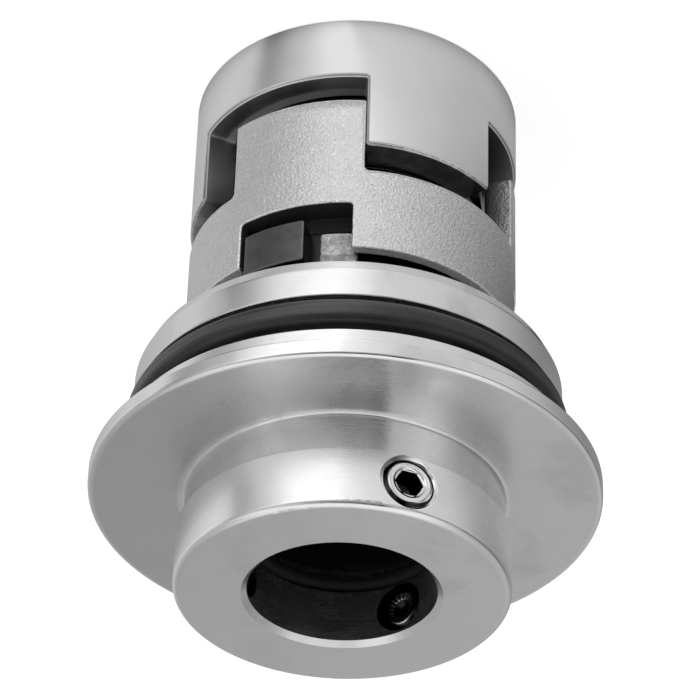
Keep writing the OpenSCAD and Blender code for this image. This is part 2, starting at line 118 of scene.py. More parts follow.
class DriverSizes(bpy.types.PropertyGroup):
    """Sizes of the driver"""
    radius: length("Radius", "Outer radius", 20.0)
    skirt_radius: length("Skirt radius", "Inner radius of the lower lugs", 16.6)
    rim_radius: length("Rim radius", "Inner radius of the upper rim", 18.6)
    bore_radius: length("Bore radius", "Radius of the web's hole", 13.8)
    boss_radius: length("Boss radius", "Radius of the boss under the rotary ring", 16.7)
    lug_end: length("Lug end", "Height of the lower lugs' ends", 12.5)
    skirt: length("Skirt", "Height of the closed end between the lower lugs", 23.1)
    web: length("Web", "Height of the web's lower face", 24.8)
    notch_floor: length("Notch floor", "Height of the notches' floor", 28.05)
    boss: length("Boss", "Height of the boss", 30.0)
    rim: length("Rim", "Height of the rim's upper edge", 34.6)
    lug_start: direction("Lug start", "Direction of the first lower lug's driving flank", 266.886)
    lug_angle: direction("Lug angle", "Angle of one lower lug", 49.5)
    notch_start: direction("Notch start", "Direction of the first notch's driving flank", 270.5)
    notch_angle: direction("Notch angle", "Angle of one notch", 41.4)
    notch_corner: length("Notch corner", "Rounding in the notches' corners", 0.5)
    lug_corner: length("Lug corner", "Rounding between the lower lugs", 0.6)
    tip: length("Tip", "Rounding of the lugs' corners", 0.26)
    edge: length("Edge", "Rounding of the casting's edges", 0.23)
    dog_radius: length("Dog radius", "Inner radius of the dogs", 17.0)
    dog_low: length("Dog low end", "Height of the dogs' lower end", 31.3)
    dog_high: length("Dog high end", "Height of the dogs' upper end", 36.2)
    dog_start: direction("Dog start", "Direction of the first dog's start", 268.2)
    dog_angle: direction("Dog angle", "Angle of one dog", 14.1)
    dog_corner: length("Dog corner", "Rounding of the dogs' corners", 0.35)


class RingSizes(bpy.types.PropertyGroup):
    """Sizes of the rotary ring"""
    bore_radius: length("Bore radius", "Radius of the ring's bore", 13.7)
    pocket_radius: length("Pocket radius", "Radius of the pocket for its O-ring", 15.9)
    body_radius: length("Body radius", "Outer radius of the ring's body", 16.7)
    lug_radius: length("Lug radius", "Outer radius of the lugs", 19.7)
    nose_radius: length("Nose radius", "Inner radius of the running face", 14.2)
    face: length("Face width", "Radial width of the running face", 2.0)
    low: length("Low end", "Height of the ring's lower face", 30.0)
    pocket: length("Pocket", "Depth of the pocket for its O-ring", 2.6)
    shoulder: length("Shoulder", "Height of the body's upper face", 37.0)
    high: length("Running face", "Height of the running face", 38.2)
    lug_height: length("Lug height", "Height of the lugs", 5.7)
    lug_start: direction("Lug start", "Direction of the first lug's start", 287.2)
    lug_angle: direction("Lug angle", "Angle of one lug", 23.3)
    edge: length("Edge", "Rounding of the lugs' edges", 0.22)


class CarrierSizes(bpy.types.PropertyGroup):
    """Sizes of the seat carrier"""
    bore_radius: length("Bore radius", "Radius of the bore round the sleeve", 13.9)
    pocket_radius: length("Pocket radius", "Radius of the seat's pocket", 19.1)
    neck_bore_radius: length("Neck bore radius", "Radius of the bore in the neck", 16.15)
    neck_radius: length("Neck radius", "Radius of the neck", 18.7)
    flange_radius: length("Flange radius", "Radius of the flange plate", 30.1)
    land_radius: length("Land radius", "Radius of the land under the flange", 27.3)
    groove_radius: length("Groove radius", "Radius at the O-ring groove's bottom", 22.75)
    disc_radius: length("Disc radius", "Radius of the register disc", 25.5)
    disc_low: length("Disc low end", "Height of the disc's lower face", 40.24)
    lead_in: length("Lead-in", "Height of the disc's lead-in chamfer", 1.76)
    lead_in_width: length("Lead-in width", "Width of the disc's lead-in chamfer", 0.85)
    disc_high: length("Disc high end", "Height of the disc's upper face", 45.6)
    pocket_high: length("Pocket high end", "Height of the pocket's closed end", 48.9)
    land_low: length("Land low end", "Height of the land's lower face", 51.1)
    land_bevel: length("Land bevel", "Width of the bevel at the land's low end", 0.8)
    flange_low: length("Flange low face", "Height of the flange's lower face", 55.0)
    flange_high: length("Flange high face", "Height of the flange's upper face", 57.1)
    neck_bore_low: length("Neck bore low end", "Height of the step in the neck's bore", 57.7)
    neck_high: length("Neck high end", "Height of the neck's end", 62.1)
    fillet: length("Fillet", "Rounding where the neck meets the flange", 0.55)
    rim: length("Rim rounding", "Rounding of the flange's upper edge", 0.55)
    neck_edge: length("Neck rounding", "Rounding of the neck's upper edge", 0.35)


class ScrewSizes(bpy.types.PropertyGroup):
    """Sizes of the set screws"""
    radius: length("Radius", "Radius at the thread's crest", 2.98)
    depth: length("Thread depth", "Depth of the thread", 0.55)
    pitch: length("Pitch", "Pitch of the thread", 1.0)
    tip: length("Tip", "Distance of the cup point from the shaft's axis", 11.2)
    cup: length("Cup", "Radius at the cup point's end", 2.0)
    teeth: length("Teeth", "Height of the cup's serrations", 0.12)
    bevel: length("Bevel", "Bevel of the head's edge", 0.5)
    face: length("Face", "Outer radius of the head's flat face", 2.38)
    head: length("Head", "Distance of the head's face from the shaft's axis", 19.42)
    height: length("Height", "Height of the screws' axes", 65.75)
    socket: length("Socket", "Distance across the flats of the hexagon", 3.0)
    socket_depth: length("Socket depth", "Depth of the hexagon", 3.0)
    start: direction("First screw", "Direction of the first screw", 248.5)


class SpringSizes(bpy.types.PropertyGroup):
    """Sizes of the spring"""
    wire: length("Wire", "Diameter of the wire", 1.8)
    radius: length("Coil radius", "Radius at the wire's centre", 15.0)
    low: length("Low end", "Height of the spring's lower end", 4.4)
    height: length("Fitted height", "Height of the spring as fitted", 19.6)
    turns: IntProperty(name="Turns", description="Number of turns, with the closed ones", default=7, min=4)
    keep: share("Kept height", "Share of its height that the spring keeps when pressed in", 0.8465)


class Finishes(bpy.types.PropertyGroup):
    """Colours and roughness of the finishes"""
    turned: grey("Turned steel", "Colour of the turned steel", 0.86)
    cap: grey("Cap steel", "Colour of the drive cap", 0.84)
    cast: grey("Cast steel", "Colour of the bead-blasted driver", 0.82)
    screw: grey("Screw steel", "Colour of the set screws", 0.74)
    spring: grey("Spring steel", "Colour of the spring's wire", 0.2)
    carbide: grey("Carbide", "Colour of the hard rings", 0.16)
    rubber: grey("Rubber", "Colour of the O-rings", 0.018)
    turned_rough: share("Turned roughness", "Roughness of the turned steel", 0.24)
    cap_rough: share("Cap roughness", "Roughness of the drive cap", 0.3)
    cast_rough: share("Cast roughness", "Roughness of the driver", 0.35)


class Studio(bpy.types.PropertyGroup):
    """The studio round the seal"""
    distance: length("Distance", "Distance of the camera from the shaft's axis", 399.31)
    aim: length("Aim", "Height on the axis that the camera aims at", 35.118)
    aside: length("Aside", "Offset of the camera to the side", -0.024)
    elevation: direction("Elevation", "Angle at which the camera looks down", 35.449)
    roll: direction("Roll", "Turn of the camera about its own line of sight", 181.819)
    lens: FloatProperty(name="Focal length", description="Focal length for a 36 mm sensor", default=170.23,
                        unit="CAMERA")
    floor: grey("Floor", "Colour of the floor", 0.85)


class Shell:
    """A closed surface on a grid: its points, its faces, and for each point its mark of wear and sheen and
    how sheltered it is.
    """

    def __init__(self, grid, edge_wear_and_sheen=0.0, deep=None, wrap_rows=True, low_pole=None, high_pole=None):
        """grid[i, j] is point j of section i. Sections are closed curves. The grid closes on itself, or
        its first and last section close to a pole. deep is a function of radius and height, both in
        millimetres, which gives how sheltered a point is, from 0 to 1."""
        grid = np.asarray(grid, float)
        rows, columns = grid.shape[:2]
        worn = np.broadcast_to(edge_wear_and_sheen, (rows, columns))
        i, j = np.meshgrid(np.arange(rows if wrap_rows else rows - 1), np.arange(columns), indexing="ij")
        i2, j2 = (i + 1) % rows, (j + 1) % columns
        quads = np.stack([i * columns + j, i2 * columns + j, i2 * columns + j2, i * columns + j2], -1)
        self.points = grid.reshape(-1, 3)
        self.edge_wear_and_sheen = worn.reshape(-1).astype(float)
        self.quads = quads.reshape(-1, 4)
        self.triangles = np.zeros((0, 3), int)
        edge = np.arange(columns)
        for pole, row, turn in ((low_pole, 0, 1), (high_pole, rows - 1, -1)):
            if pole is None:
                continue
            tip = len(self.points)
            a, b = row * columns + edge, row * columns + (edge + 1) % columns
            fan = np.stack([np.full(columns, tip), a, b] if turn > 0 else [np.full(columns, tip), b, a], -1)
            self.points = np.vstack([self.points, pole])
            self.edge_wear_and_sheen = np.append(self.edge_wear_and_sheen, self.edge_wear_and_sheen[row * columns])
            self.triangles = np.vstack([self.triangles, fan])
        radius, height = np.hypot(self.points[:, 0], self.points[:, 1]) / MM, self.points[:, 2] / MM
        self.deep = 0 * self.edge_wear_and_sheen if deep is None else deep(radius, height)
        if self.volume() < 0:
            self.quads = self.quads[:, ::-1]
            self.triangles = self.triangles[:, ::-1]

    def volume(self):
        """The signed volume: a sixth of the sum of a.(b x c) over the triangles."""
        q = self.quads
        corners = np.vstack([q[:, [0, 1, 2]], q[:, [0, 2, 3]], self.triangles])
        a, b, c = (self.points[corners[:, k]] for k in range(3))
        return float((a * np.cross(b, c)).sum()) / 6

    def turned(self, angle):
        """The same surface, turned about the shaft's axis."""
        c, s = math.cos(angle), math.sin(angle)
        twin = object.__new__(Shell)
        twin.points = self.points @ np.array([[c, s, 0], [-s, c, 0], [0, 0, 1]])
        twin.edge_wear_and_sheen, twin.deep, twin.quads, twin.triangles = self.edge_wear_and_sheen, self.deep, self.quads, self.triangles
        return twin


def polar(radius, angle, height):
    """Points at a radius, a direction and a height: x = r cos a, y = r sin a, z = h."""
    radius, angle, height = np.broadcast_arrays(radius, angle, height)
    return np.stack([radius * np.cos(angle), radius * np.sin(angle), height], -1)


def circle(steps):
    """Directions at equal steps round a full turn."""
    return np.linspace(0, TURN, steps, endpoint=False)


def rounded_outline(corners):
    """A closed outline of radius and height with its corners rounded.

    A corner (r, z, e) is cut back by e along both sides, and a parabola through the corner's direction
    joins the cuts: (1-t)^2 A + 2t(1-t) C + t^2 B. A short straight piece holds each side's shading.
    Gives the points and their marks of wear and sheen.
    """
    corners = [np.array(c if len(c) == 3 else (*c, CUT), float) for c in corners]
    t = np.linspace(0, 1, ARC_STEPS + 1)[:, None]
    points, worn = [], []
    for before, (*here, e), after in zip(corners[-1:] + corners[:-1], corners, corners[1:] + corners[:1]):
        here = np.array(here)
        back, ahead = before[:2] - here, after[:2] - here
        back, ahead = back / np.linalg.norm(back), ahead / np.linalg.norm(ahead)
        a, b = here + e * back, here + e * ahead
        curve = (1 - t) ** 2 * a + 2 * t * (1 - t) * here + t ** 2 * b
        points += [a + HOLD * back, *curve, b + HOLD * ahead]
        worn += [0, 0, *[1] * (ARC_STEPS - 1), 0, 0]
    return np.array(points), np.array(worn)


def turned_ring(corners, steps=240):
    """A turned piece: an outline of radius and height carried round the axis."""
    outline, worn = rounded_outline(corners)
    return Shell(polar(outline[None, :, 0], circle(steps)[:, None], outline[None, :, 1]), worn[None, :])


class Castle:
    """The edge of a castellated ring, unrolled at its outer radius.

    For a direction on the ring's plain part it gives the point of the edge that belongs to it: the floor
    of a gap, a quarter circle into the flank, the upright flank, a quarter circle onto the lug's end, and
    the same again backwards, three times round.
    """
    FLOOR, RISE, END, BEND = 15, 9, 13, 6   # points along half a gap, a flank, half a lug and a bend
    BESIDE = 0.09 * MM                      # distance of the last point beside a bend
    LEAN = 3.0 * MM                         # part of the plain wall that leans over to the flank

    def __init__(self, start, angle, radius, closed, tall, hollow, tip):
        """The gap begins at start and is angle wide. closed and tall are the heights of its floor and of
        the lugs' ends, hollow and tip the roundings in the gap's corners and of the lugs'."""
        up = 1 if tall > closed else -1
        flank, middle = (start + angle) * radius, (start + angle / 2) * radius
        half = (THIRD - angle) * radius / 2
        q = np.linspace(0, math.pi / 2, self.BEND)
        floor = np.append(np.linspace(middle, flank - hollow, self.FLOOR)[:-1], flank - hollow - self.BESIDE)
        rise = np.linspace(closed + up * hollow, tall - up * tip, self.RISE)[1:-1]
        rise = np.insert(rise, 0, closed + up * (hollow + self.BESIDE))
        end = np.linspace(flank + tip, flank + half, self.END)[1:]
        s = np.concatenate([floor, flank - hollow + hollow * np.sin(q), 0 * rise + flank,
                            flank + tip * (1 - np.cos(q)), end])
        z = np.concatenate([0 * floor + closed, closed + up * hollow * (1 - np.cos(q)), rise,
                            tall - up * tip * (1 - np.sin(q)), 0 * end + tall])
        turn = np.concatenate([0 * floor, q, 0 * rise + math.pi / 2, math.pi / 2 + q, 0 * end + math.pi])
        bend, lean = flank + 0.1 * self.LEAN, flank + self.LEAN
        base = np.concatenate([floor, np.linspace(flank - hollow, bend, len(q)),
                               np.linspace(bend, lean, len(rise) + len(q) + 1)[1:],
                               np.linspace(lean, flank + half, len(end) + 1)[1:]])
        crease = 0 * base
        crease[[len(floor), len(floor) + len(q) - 1]] = 1

        def mirrored(v, sign=1.0, offset=0.0):
            """The values of half a gap and half a lug, and of the same backwards."""
            return np.concatenate([v, offset + sign * v[-2:0:-1]])

        s, base = (mirrored(v, -1, 2 * (flank + half)) for v in (s, base))
        self.base = (base / radius + np.arange(3)[:, None] * THIRD).ravel()
        # the normal into the metal leans across on the flanks and points down from a floor or an end
        across, down = mirrored(np.sin(turn), -1), -up * np.abs(mirrored(np.cos(turn)))
        off = mirrored(np.clip(turn / (math.pi / 2), 0, 1))
        self.lag, self.height, self.across, self.down, self.off, self.crease = (
            np.tile(v, 3) for v in ((s - base) / radius, mirrored(z), across, down, off, mirrored(crease)))

    def at(self, base):
        """Direction and height of the edge, its normal into the metal, and how far it is off the floor."""
        lag, *others = (np.interp(base, self.base, v, period=TURN)
                        for v in (self.lag, self.height, self.across, self.down, self.off))
        return (base + lag, *others)


def edge_rows(edge, radius, inward, width, reach=1.0, weight=1.0, crease=None):
    """Rows of points from a wall onto the edge of a castellated ring, in words: a point goes into the
    metal by width (1 - sin t) along the edge's normal and across the wall by width (1 - cos t), for t from
    0 to 90 degrees, with a short straight piece at both ends. Where the edge has creases it is cut flat
    instead, by width (1 - t) and width t, and is marked for painted highlights at both ends of the cut and
    for a painted dark reflection in its middle. Gives radius, direction, height and the marks of wear and
    sheen."""
    direction, height, across, down = edge
    t = np.linspace(0, math.pi / 2, ARC_STEPS + 1)
    into, over = 1 - np.sin(t), 1 - np.cos(t)
    worn = np.concatenate([[0, 0], np.ones(ARC_STEPS - 1), [0, 0]])
    if crease is not None:
        over = np.array([0, 0.12, 0.5, 0.88, 1])
        into = 1 - over
        worn = np.array([0, 0.6, 1, -1, 1, 0.6, 0])
    deep = np.concatenate([[width + HOLD], width * into, [0]])[:, None] * weight
    inset = np.concatenate([[0], width * over, [width + HOLD]])[:, None]
    worn = worn[:, None] + 0 * direction
    # painted highlight lines across the slots' faces at the corners between floor and flanks
    if crease is not None:
        worn[-1] = 0.7 * crease
    return (radius + inward * inset + 0 * direction, direction + across * deep / reach,
            height + down * deep, worn)


def soft_step(value, low, high):
    """A soft step from 0 to 1: t^2 (3 - 2t), with t the share of the way from low to high."""
    t = np.clip((value - low) / (high - low), 0, 1)
    return t * t * (3 - 2 * t)


def between(first, last, steps=WALL_STEPS):
    """Rows of points between two rows, at equal steps of radius, direction and height, without the last."""
    t = np.arange(steps)[:, None] / steps
    rows = [(1 - t) * a + t * b for a, b in zip(first, last)]
    return (*rows, 0 * rows[0])


def row(radius, direction, height):
    """One row of points with the same radius and height."""
    zero = 0 * direction
    return radius + zero, direction, height + zero


def stack_rows(parts):
    """Puts rows of radius, direction, height and marks of wear and sheen on one another: a grid of points and
    its marks.
    """
    radius, angle, height, worn = (np.vstack([part[k] for part in parts]) for k in range(4))
    return polar(radius, angle, height).transpose(1, 0, 2), worn.T


def outline_rows(corners, base):
    """Rows of a turned part of a castellated ring: a rounded run of (r, z, e) corners at plain directions,
    without the points of the first and the last corner."""
    outline, worn = rounded_outline(corners)
    radius, height, worn = (v[ARC_STEPS + 3:-ARC_STEPS - 3, None] + 0 * base for v in (*outline.T, worn))
    return radius, base + 0 * radius, height, worn


def flip(rows):
    """The same rows in the opposite order."""
    return tuple(part[::-1] for part in rows)


def first_row(rows):
    """Radius, direction and height of the first row."""
    return tuple(part[0] for part in rows[:3])


def lug_block(start, angle, inner, outer, low, high, corner, edge):
    """A lug on a ring: a rounded rectangle in direction and height, carried outwards from the inner to the
    outer radius and rounded over onto its outer face, whose rows shrink towards the middle."""
    bend, shrink = 7, [0.9, 0.75, 0.6, 0.45, 0.3, 0.15]
    mid, centre = start + angle / 2, (low + high) / 2
    half = np.array([angle * outer / 2, (high - low) / 2])
    bends = np.array([[1, 1], [-1, 1], [-1, -1], [1, -1]], float)
    along = np.linspace(0, 1, 12)[1:-1, None]
    side = np.vstack([np.vstack([np.tile(a, (bend, 1)), a + along * (b - a)])
                      for a, b in zip(bends, np.roll(bends, -1, 0))]).T
    t = np.concatenate([[*np.linspace(k, k + 1, bend), *[k + 1] * len(along)] for k in range(4)])
    unit = np.stack([np.cos(t * math.pi / 2), np.sin(t * math.pi / 2)])
    q = np.linspace(0, math.pi / 2, ARC_STEPS + 1)
    flat = [1] * (len(shrink) + 1)
    deep = np.concatenate([[0, 0, 0], edge * (1 - np.cos(q)), (edge + HOLD) * np.array(flat)])
    radius = np.concatenate([[inner, inner, outer - edge - HOLD], outer - edge + edge * np.sin(q),
                             outer * np.array(flat)])
    scale = np.concatenate([[0.5, 1, 1], np.ones(ARC_STEPS + 2), shrink])
    worn = np.concatenate([[0] * 4, np.ones(ARC_STEPS - 1), [0, 0], 0 * np.array(shrink)])
    corner = max(corner, edge + 2 * HOLD)
    flat = side * (half[:, None] - corner) + unit * corner
    rows = [(flat - unit * d) * k for d, k in zip(deep, scale)]
    grid = [polar(r, mid + p[0] / outer, centre + p[1]) for r, p in zip(radius, rows)]
    return Shell(np.array(grid), worn[:, None], wrap_rows=False, low_pole=polar(inner, mid, centre),
                 high_pole=polar(outer, mid, centre))


def cap_shell(s):
    """The drive cap: its turned section, whose wall ends in the castellated edge."""
    low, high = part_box("drive_cap")
    radius, inner = high.x, high.x - s.wall
    edge = Castle(s.slot_start, s.slot_angle, radius, s.slot_floor, high.z, s.corner, s.tip)
    base = edge.base
    place = edge.at(base)
    plain = s.slot_floor - 1.6 * MM     # the wall is a plain ring below this height
    outer = edge_rows(place[:4], radius, -1, s.edge, radius, crease=edge.crease)
    inside = edge_rows(place[:4], inner, 1, 0.6 * s.edge, radius, crease=edge.crease)
    turned = outline_rows([(inner, plain), (inner, s.floor, WIDE), (s.hole_radius, s.floor),
                           (s.hole_radius, s.recess), (s.recess_radius, s.recess),
                           (s.recess_radius, low.z, SOFT), (radius, low.z, s.foot), (radius, plain)], base)
    start, end = row(radius, base, plain), row(inner, base, plain)
    grid, worn = stack_rows([turned, between(start, first_row(outer)), outer, flip(inside),
                             between(first_row(inside), end)])
    key = lug_block(-s.key_angle / 2, s.key_angle, s.key_radius, s.hole_radius + SOFT + SMALL, s.recess,
                    s.floor, SMALL, FINE)
    return [Shell(grid, worn)] + [key.turned(k * THIRD) for k in range(3)]


def driver_shells(s):
    """The driver: a ring whose wall ends in castellated edges at both ends, with a web inside, and dogs."""
    upper = Castle(s.notch_start, s.notch_angle, s.radius, s.notch_floor, s.rim, s.notch_corner, s.tip)
    lower = Castle(s.lug_start + s.lug_angle, THIRD - s.lug_angle, s.radius, s.skirt, s.lug_end, s.lug_corner,
                   s.tip)
    base = np.sort(np.concatenate([upper.base, lower.base]) % TURN)
    base = base[np.concatenate([[True], np.diff(base) > 4e-4])]
    top, bottom = upper.at(base), lower.at(base)
    off = top[4]
    waist = s.web + 0.8 * MM    # between the two castellated edges the wall is plain
    low_in = edge_rows(bottom[:4], s.skirt_radius, 1, s.edge, s.radius)
    low_out = edge_rows(bottom[:4], s.radius, -1, s.edge, s.radius)
    high_out = edge_rows(top[:4], s.radius, -1, s.edge, s.radius)
    high_in = edge_rows(top[:4], s.rim_radius, 1, s.edge, s.radius, off)
    web_low = outline_rows([(s.bore_radius, s.boss), (s.bore_radius, s.web), (s.skirt_radius, s.web, WIDE),
                            (s.skirt_radius, s.skirt)], base)
    web_high = outline_rows([(s.rim_radius, s.notch_floor), (s.boss_radius, s.notch_floor, MEDIUM),
                             (s.boss_radius, s.boss, SMALL), (s.bore_radius, s.boss),
                             (s.bore_radius, s.web)], base)
    web_end, waist_row = row(s.skirt_radius, base, s.web - WIDE - FINE), row(s.radius, base, waist)
    foot = row(s.rim_radius - 2 * MEDIUM * (1 - off), base, s.notch_floor)
    boss_foot = row(s.boss_radius + 2 * SMALL, base, s.notch_floor)
    grid, worn = stack_rows([
        web_low, between(web_end, first_row(low_in)), low_in, flip(low_out),
        between(first_row(low_out), waist_row), between(waist_row, first_row(high_out)), high_out,
        flip(high_in), between(first_row(high_in), foot, 6), between(foot, boss_foot, 3), web_high])
    dog = lug_block(s.dog_start, s.dog_angle, s.dog_radius, s.rim_radius - MEDIUM, s.dog_low, s.dog_high,
                    s.dog_corner, SOFT)
    shy = 0.009     # the dog's neck, which joins it to the rim, is narrower by this angle at both sides
    neck = lug_block(s.dog_start + shy, s.notch_start - s.dog_start - 2 * shy, s.rim_radius - 4 * SMALL,
                     s.rim_radius + WIDE, s.dog_low + SMALL, s.rim - 2 * SMALL, MEDIUM, FINE)

    def deep(radius, height):
        """The windows' inside and the inner side of the lower lugs lie in the dark."""
        wall, floor, rim, skirt = (v / MM for v in (s.radius, s.notch_floor, s.rim, s.skirt_radius))
        window = soft_step(radius, wall - 0.17, wall - 0.26) * soft_step(height, floor - 1.05, floor - 0.15)
        return np.maximum(window * soft_step(height, rim - 0.15, rim - 0.35),
                          soft_step(radius, skirt + 0.6, skirt + 0.3))

    return [Shell(grid, worn, deep)] + [piece.turned(k * THIRD) for k in range(3) for piece in (dog, neck)]


def ring_shells(s):
    """The rotary ring: a turned ring with a narrow nose, and its lugs."""
    nose, face, pocket = s.nose_radius, s.nose_radius + s.face, s.low + s.pocket
    body = turned_ring([(s.pocket_radius, s.low), (s.body_radius, s.low), (s.body_radius, s.shoulder, MEDIUM),
                        (face, s.shoulder), (face, s.high, KEEN), (nose, s.high, KEEN), (nose, s.shoulder),
                        (s.bore_radius, s.shoulder), (s.bore_radius, pocket), (s.pocket_radius, pocket)])
    lug = lug_block(s.lug_start, s.lug_angle, s.body_radius - MEDIUM, s.lug_radius, s.low,
                    s.low + s.lug_height, MEDIUM, s.edge)
    return [body] + [lug.turned(k * THIRD) for k in range(3)]


def carrier_shell(s):
    """The seat carrier: one turned section with pocket, disc, groove, land, flange, neck and bore."""
    land = s.land_radius - s.land_bevel
    return [turned_ring([
        (s.pocket_radius, s.disc_low, WIDE), (s.disc_radius - s.lead_in_width, s.disc_low, FINE),
        (s.disc_radius, s.disc_low + s.lead_in, 0.15 * MM), (s.disc_radius, s.disc_high, SMALL),
        (s.groove_radius, s.disc_high, SMALL), (s.groove_radius, s.land_low, SMALL),
        (land, s.land_low, 2 * KEEN), (s.land_radius, s.land_low + 0.75 * s.land_bevel, 2 * KEEN),
        (s.land_radius, s.flange_low, FINE), (s.flange_radius, s.flange_low, SMALL),
        (s.flange_radius, s.flange_high, s.rim), (s.neck_radius, s.flange_high, s.fillet),
        (s.neck_radius, s.neck_high, s.neck_edge), (s.neck_bore_radius, s.neck_high, SMALL),
        (s.neck_bore_radius, s.neck_bore_low, SMALL), (s.bore_radius, s.neck_bore_low, SMALL),
        (s.bore_radius, s.pocket_high, FINE), (s.pocket_radius, s.pocket_high, SMALL)], 360)]


def full_ring(low, high, power=2.5, steps=240):
    """A rubber ring that fills its groove: a superellipse |u|^p + |v|^p = 1 carried round the axis, where u
    runs from the ring's inner to its outer radius and v from its lower to its upper end."""
    half = (high.z - low.z) / 2
    t = circle(48) + 0.03   # turned a little, so that no point lies where the curve has its flat middle
    u, v = (np.sign(w) * np.abs(w) ** (2 / power) for w in (np.cos(t), np.sin(t)))
    return Shell(polar(high.x - half + half * u, circle(steps)[:, None], low.z + half + half * v))


def screw_shell(s, angle):
    """A set screw: along its axis the radius is the least of the thread's wave, the point's cone and the
    head's chamfer; the point ends in a serrated cup and the head in a hexagon socket."""
    t = circle(72)
    along = np.linspace(s.tip, s.head, 150)[:, None]
    wave = np.abs(((along / s.pitch - t / TURN) % 1) * 2 - 1)
    thread = s.radius - s.depth * np.clip(1.25 * wave - 0.12, 0, 1)
    cone = np.minimum(s.cup + (along - s.tip), s.radius - s.bevel + (s.head - along))
    body = np.minimum(thread, cone)
    teeth = s.tip + s.teeth * np.abs((t * 18 / TURN) % 1 * 2 - 1)
    cup = [(0.3 * s.cup, s.tip + WIDE), (0.6 * s.cup, s.tip + FINE), (0.65 * s.cup, teeth),
           (0.925 * s.cup, teeth)]
    hexagon = s.socket / 2 / np.cos(t % (math.pi / 3) - math.pi / 6)
    mouth, deep = 1.12 * s.socket / math.sqrt(3), s.head - s.socket_depth
    socket = [(s.face, s.head), (mouth + HOLD, s.head), (mouth, s.head - HOLD),
              (hexagon, s.head - 0.13 * MM), (hexagon, s.head - SMALL), (hexagon, deep + SMALL),
              (hexagon, deep), (0.9 * hexagon, deep - KEEN / 2), (0.5 * hexagon, deep - 2 * SMALL)]
    radius, depth = (np.vstack([0 * t + p[k] for p in cup] + [middle] + [0 * t + p[k] for p in socket])
                     for k, middle in enumerate((body, along + 0 * t)))
    crest = np.clip((radius - s.radius) / CUT + 1, 0, 1)
    axes, bottom = np.array([polar(1, angle + math.pi / 2, 0), [0, 0, 1], polar(1, angle, 0)]), 0.8 * MM
    grid, *poles = (np.asarray(p) @ axes + [0, 0, s.height] for p in (
        np.stack([radius * np.cos(t), radius * np.sin(t), depth], -1),
        [0, 0, s.tip + bottom], [0, 0, deep - bottom]))
    return Shell(grid, crest, wrap_rows=False, low_pole=poles[0], high_pole=poles[1])


def spring_shell(s):
    """The spring: a circle carried along a helix whose pitch is closed in the end turns and open between,
    with what lies under and over the ends cut flat."""
    t = np.linspace(0, s.turns, s.turns * 56 + 1)[:, None]
    closed, start = s.wire + SMALL, 0.3 * s.wire
    height = np.interp(t, [0, 1, s.turns - 1, s.turns],
                       [start, start + closed, s.height - start - closed, s.height - start])
    section, wire = circle(20) + math.pi / 20, s.wire / 2
    z = np.clip(height + wire * np.sin(section), 0, s.height) + s.low
    grid = polar(s.radius + wire * np.cos(section), TURN * t, z)
    return Shell(grid, wrap_rows=False, low_pole=grid[0].mean(0), high_pole=grid[-1].mean(0))


def make_piece(name, shells, body, slot, finish, *nodes):
    """Puts surfaces into one mesh, gives it its finish, and lets it ride on a body in place of solids."""
    points = np.vstack([shell.points for shell in shells])
    marks = {"worn": np.concatenate([shell.edge_wear_and_sheen for shell in shells]),
             "deep": np.concatenate([shell.deep for shell in shells])}
    start = np.cumsum([0] + [len(shell.points) for shell in shells])
    quads = np.vstack([shell.quads + k for shell, k in zip(shells, start)])
    triangles = np.vstack([shell.triangles + k for shell, k in zip(shells, start)])
    mesh = bpy.data.meshes.new(name)
    mesh.vertices.add(len(points))
    mesh.vertices.foreach_set("co", points.ravel())
    mesh.loops.add(quads.size + triangles.size)
    mesh.loops.foreach_set("vertex_index", np.concatenate([quads.ravel(), triangles.ravel()]))
    mesh.polygons.add(len(quads) + len(triangles))
    sizes = np.concatenate([np.full(len(quads), 4), np.full(len(triangles), 3)])
    mesh.polygons.foreach_set("loop_start", np.concatenate([[0], np.cumsum(sizes)[:-1]]))
    mesh.polygons.foreach_set("use_smooth", np.ones(len(sizes), bool))
    mesh.update(calc_edges=True)
    for mark, values in marks.items():
        mesh.attributes.new(mark, "FLOAT", "POINT").data.foreach_set("value", values)
    if mesh.validate():
        raise RuntimeError(f"{name}: the mesh had faults")
    piece = bpy.data.objects.new(name, mesh)
    bpy.context.scene.collection.objects.link(piece)
    mesh.materials.append(finish)
    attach(piece, body)
    if nodes:
        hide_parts(*nodes)
    return piece


def maths(operation, swapped=False):
    """A method that adds one Math node, and takes its values the other way round if swapped."""
    def apply(self, *others):
        values = (*others, self) if swapped else (self, *others)
        return self.finish.node("ShaderNodeMath", {"operation": operation}, dict(enumerate(values)))
    return apply


class Signal:
    """A number that varies over a surface. Arithmetic on it adds Math nodes."""

    def __init__(self, finish, socket):
        self.finish, self.socket = finish, socket

    __add__ = __radd__ = maths("ADD")
    __sub__, __rsub__ = maths("SUBTRACT"), maths("SUBTRACT", swapped=True)
    __mul__ = __rmul__ = maths("MULTIPLY")
    __truediv__, __pow__ = maths("DIVIDE"), maths("POWER")
    bigger, smaller, size, wave = maths("MAXIMUM"), maths("MINIMUM"), maths("ABSOLUTE"), maths("SINE")
    angle, fraction = maths("ARCTAN2"), maths("FRACT")

    def smooth(self, low, high, to_low=0.0, to_high=1.0):
        """A soft step: to_low below low, to_high above high."""
        return self.finish.node("ShaderNodeMapRange", {"interpolation_type": "SMOOTHSTEP"},
                                {0: self, 1: low, 2: high, 3: to_low, 4: to_high})

    def hump(self, centre, width):
        """1 at a value, falling softly to 0 at a width from it."""
        return (self - centre).size().smooth(0, width, 1, 0)


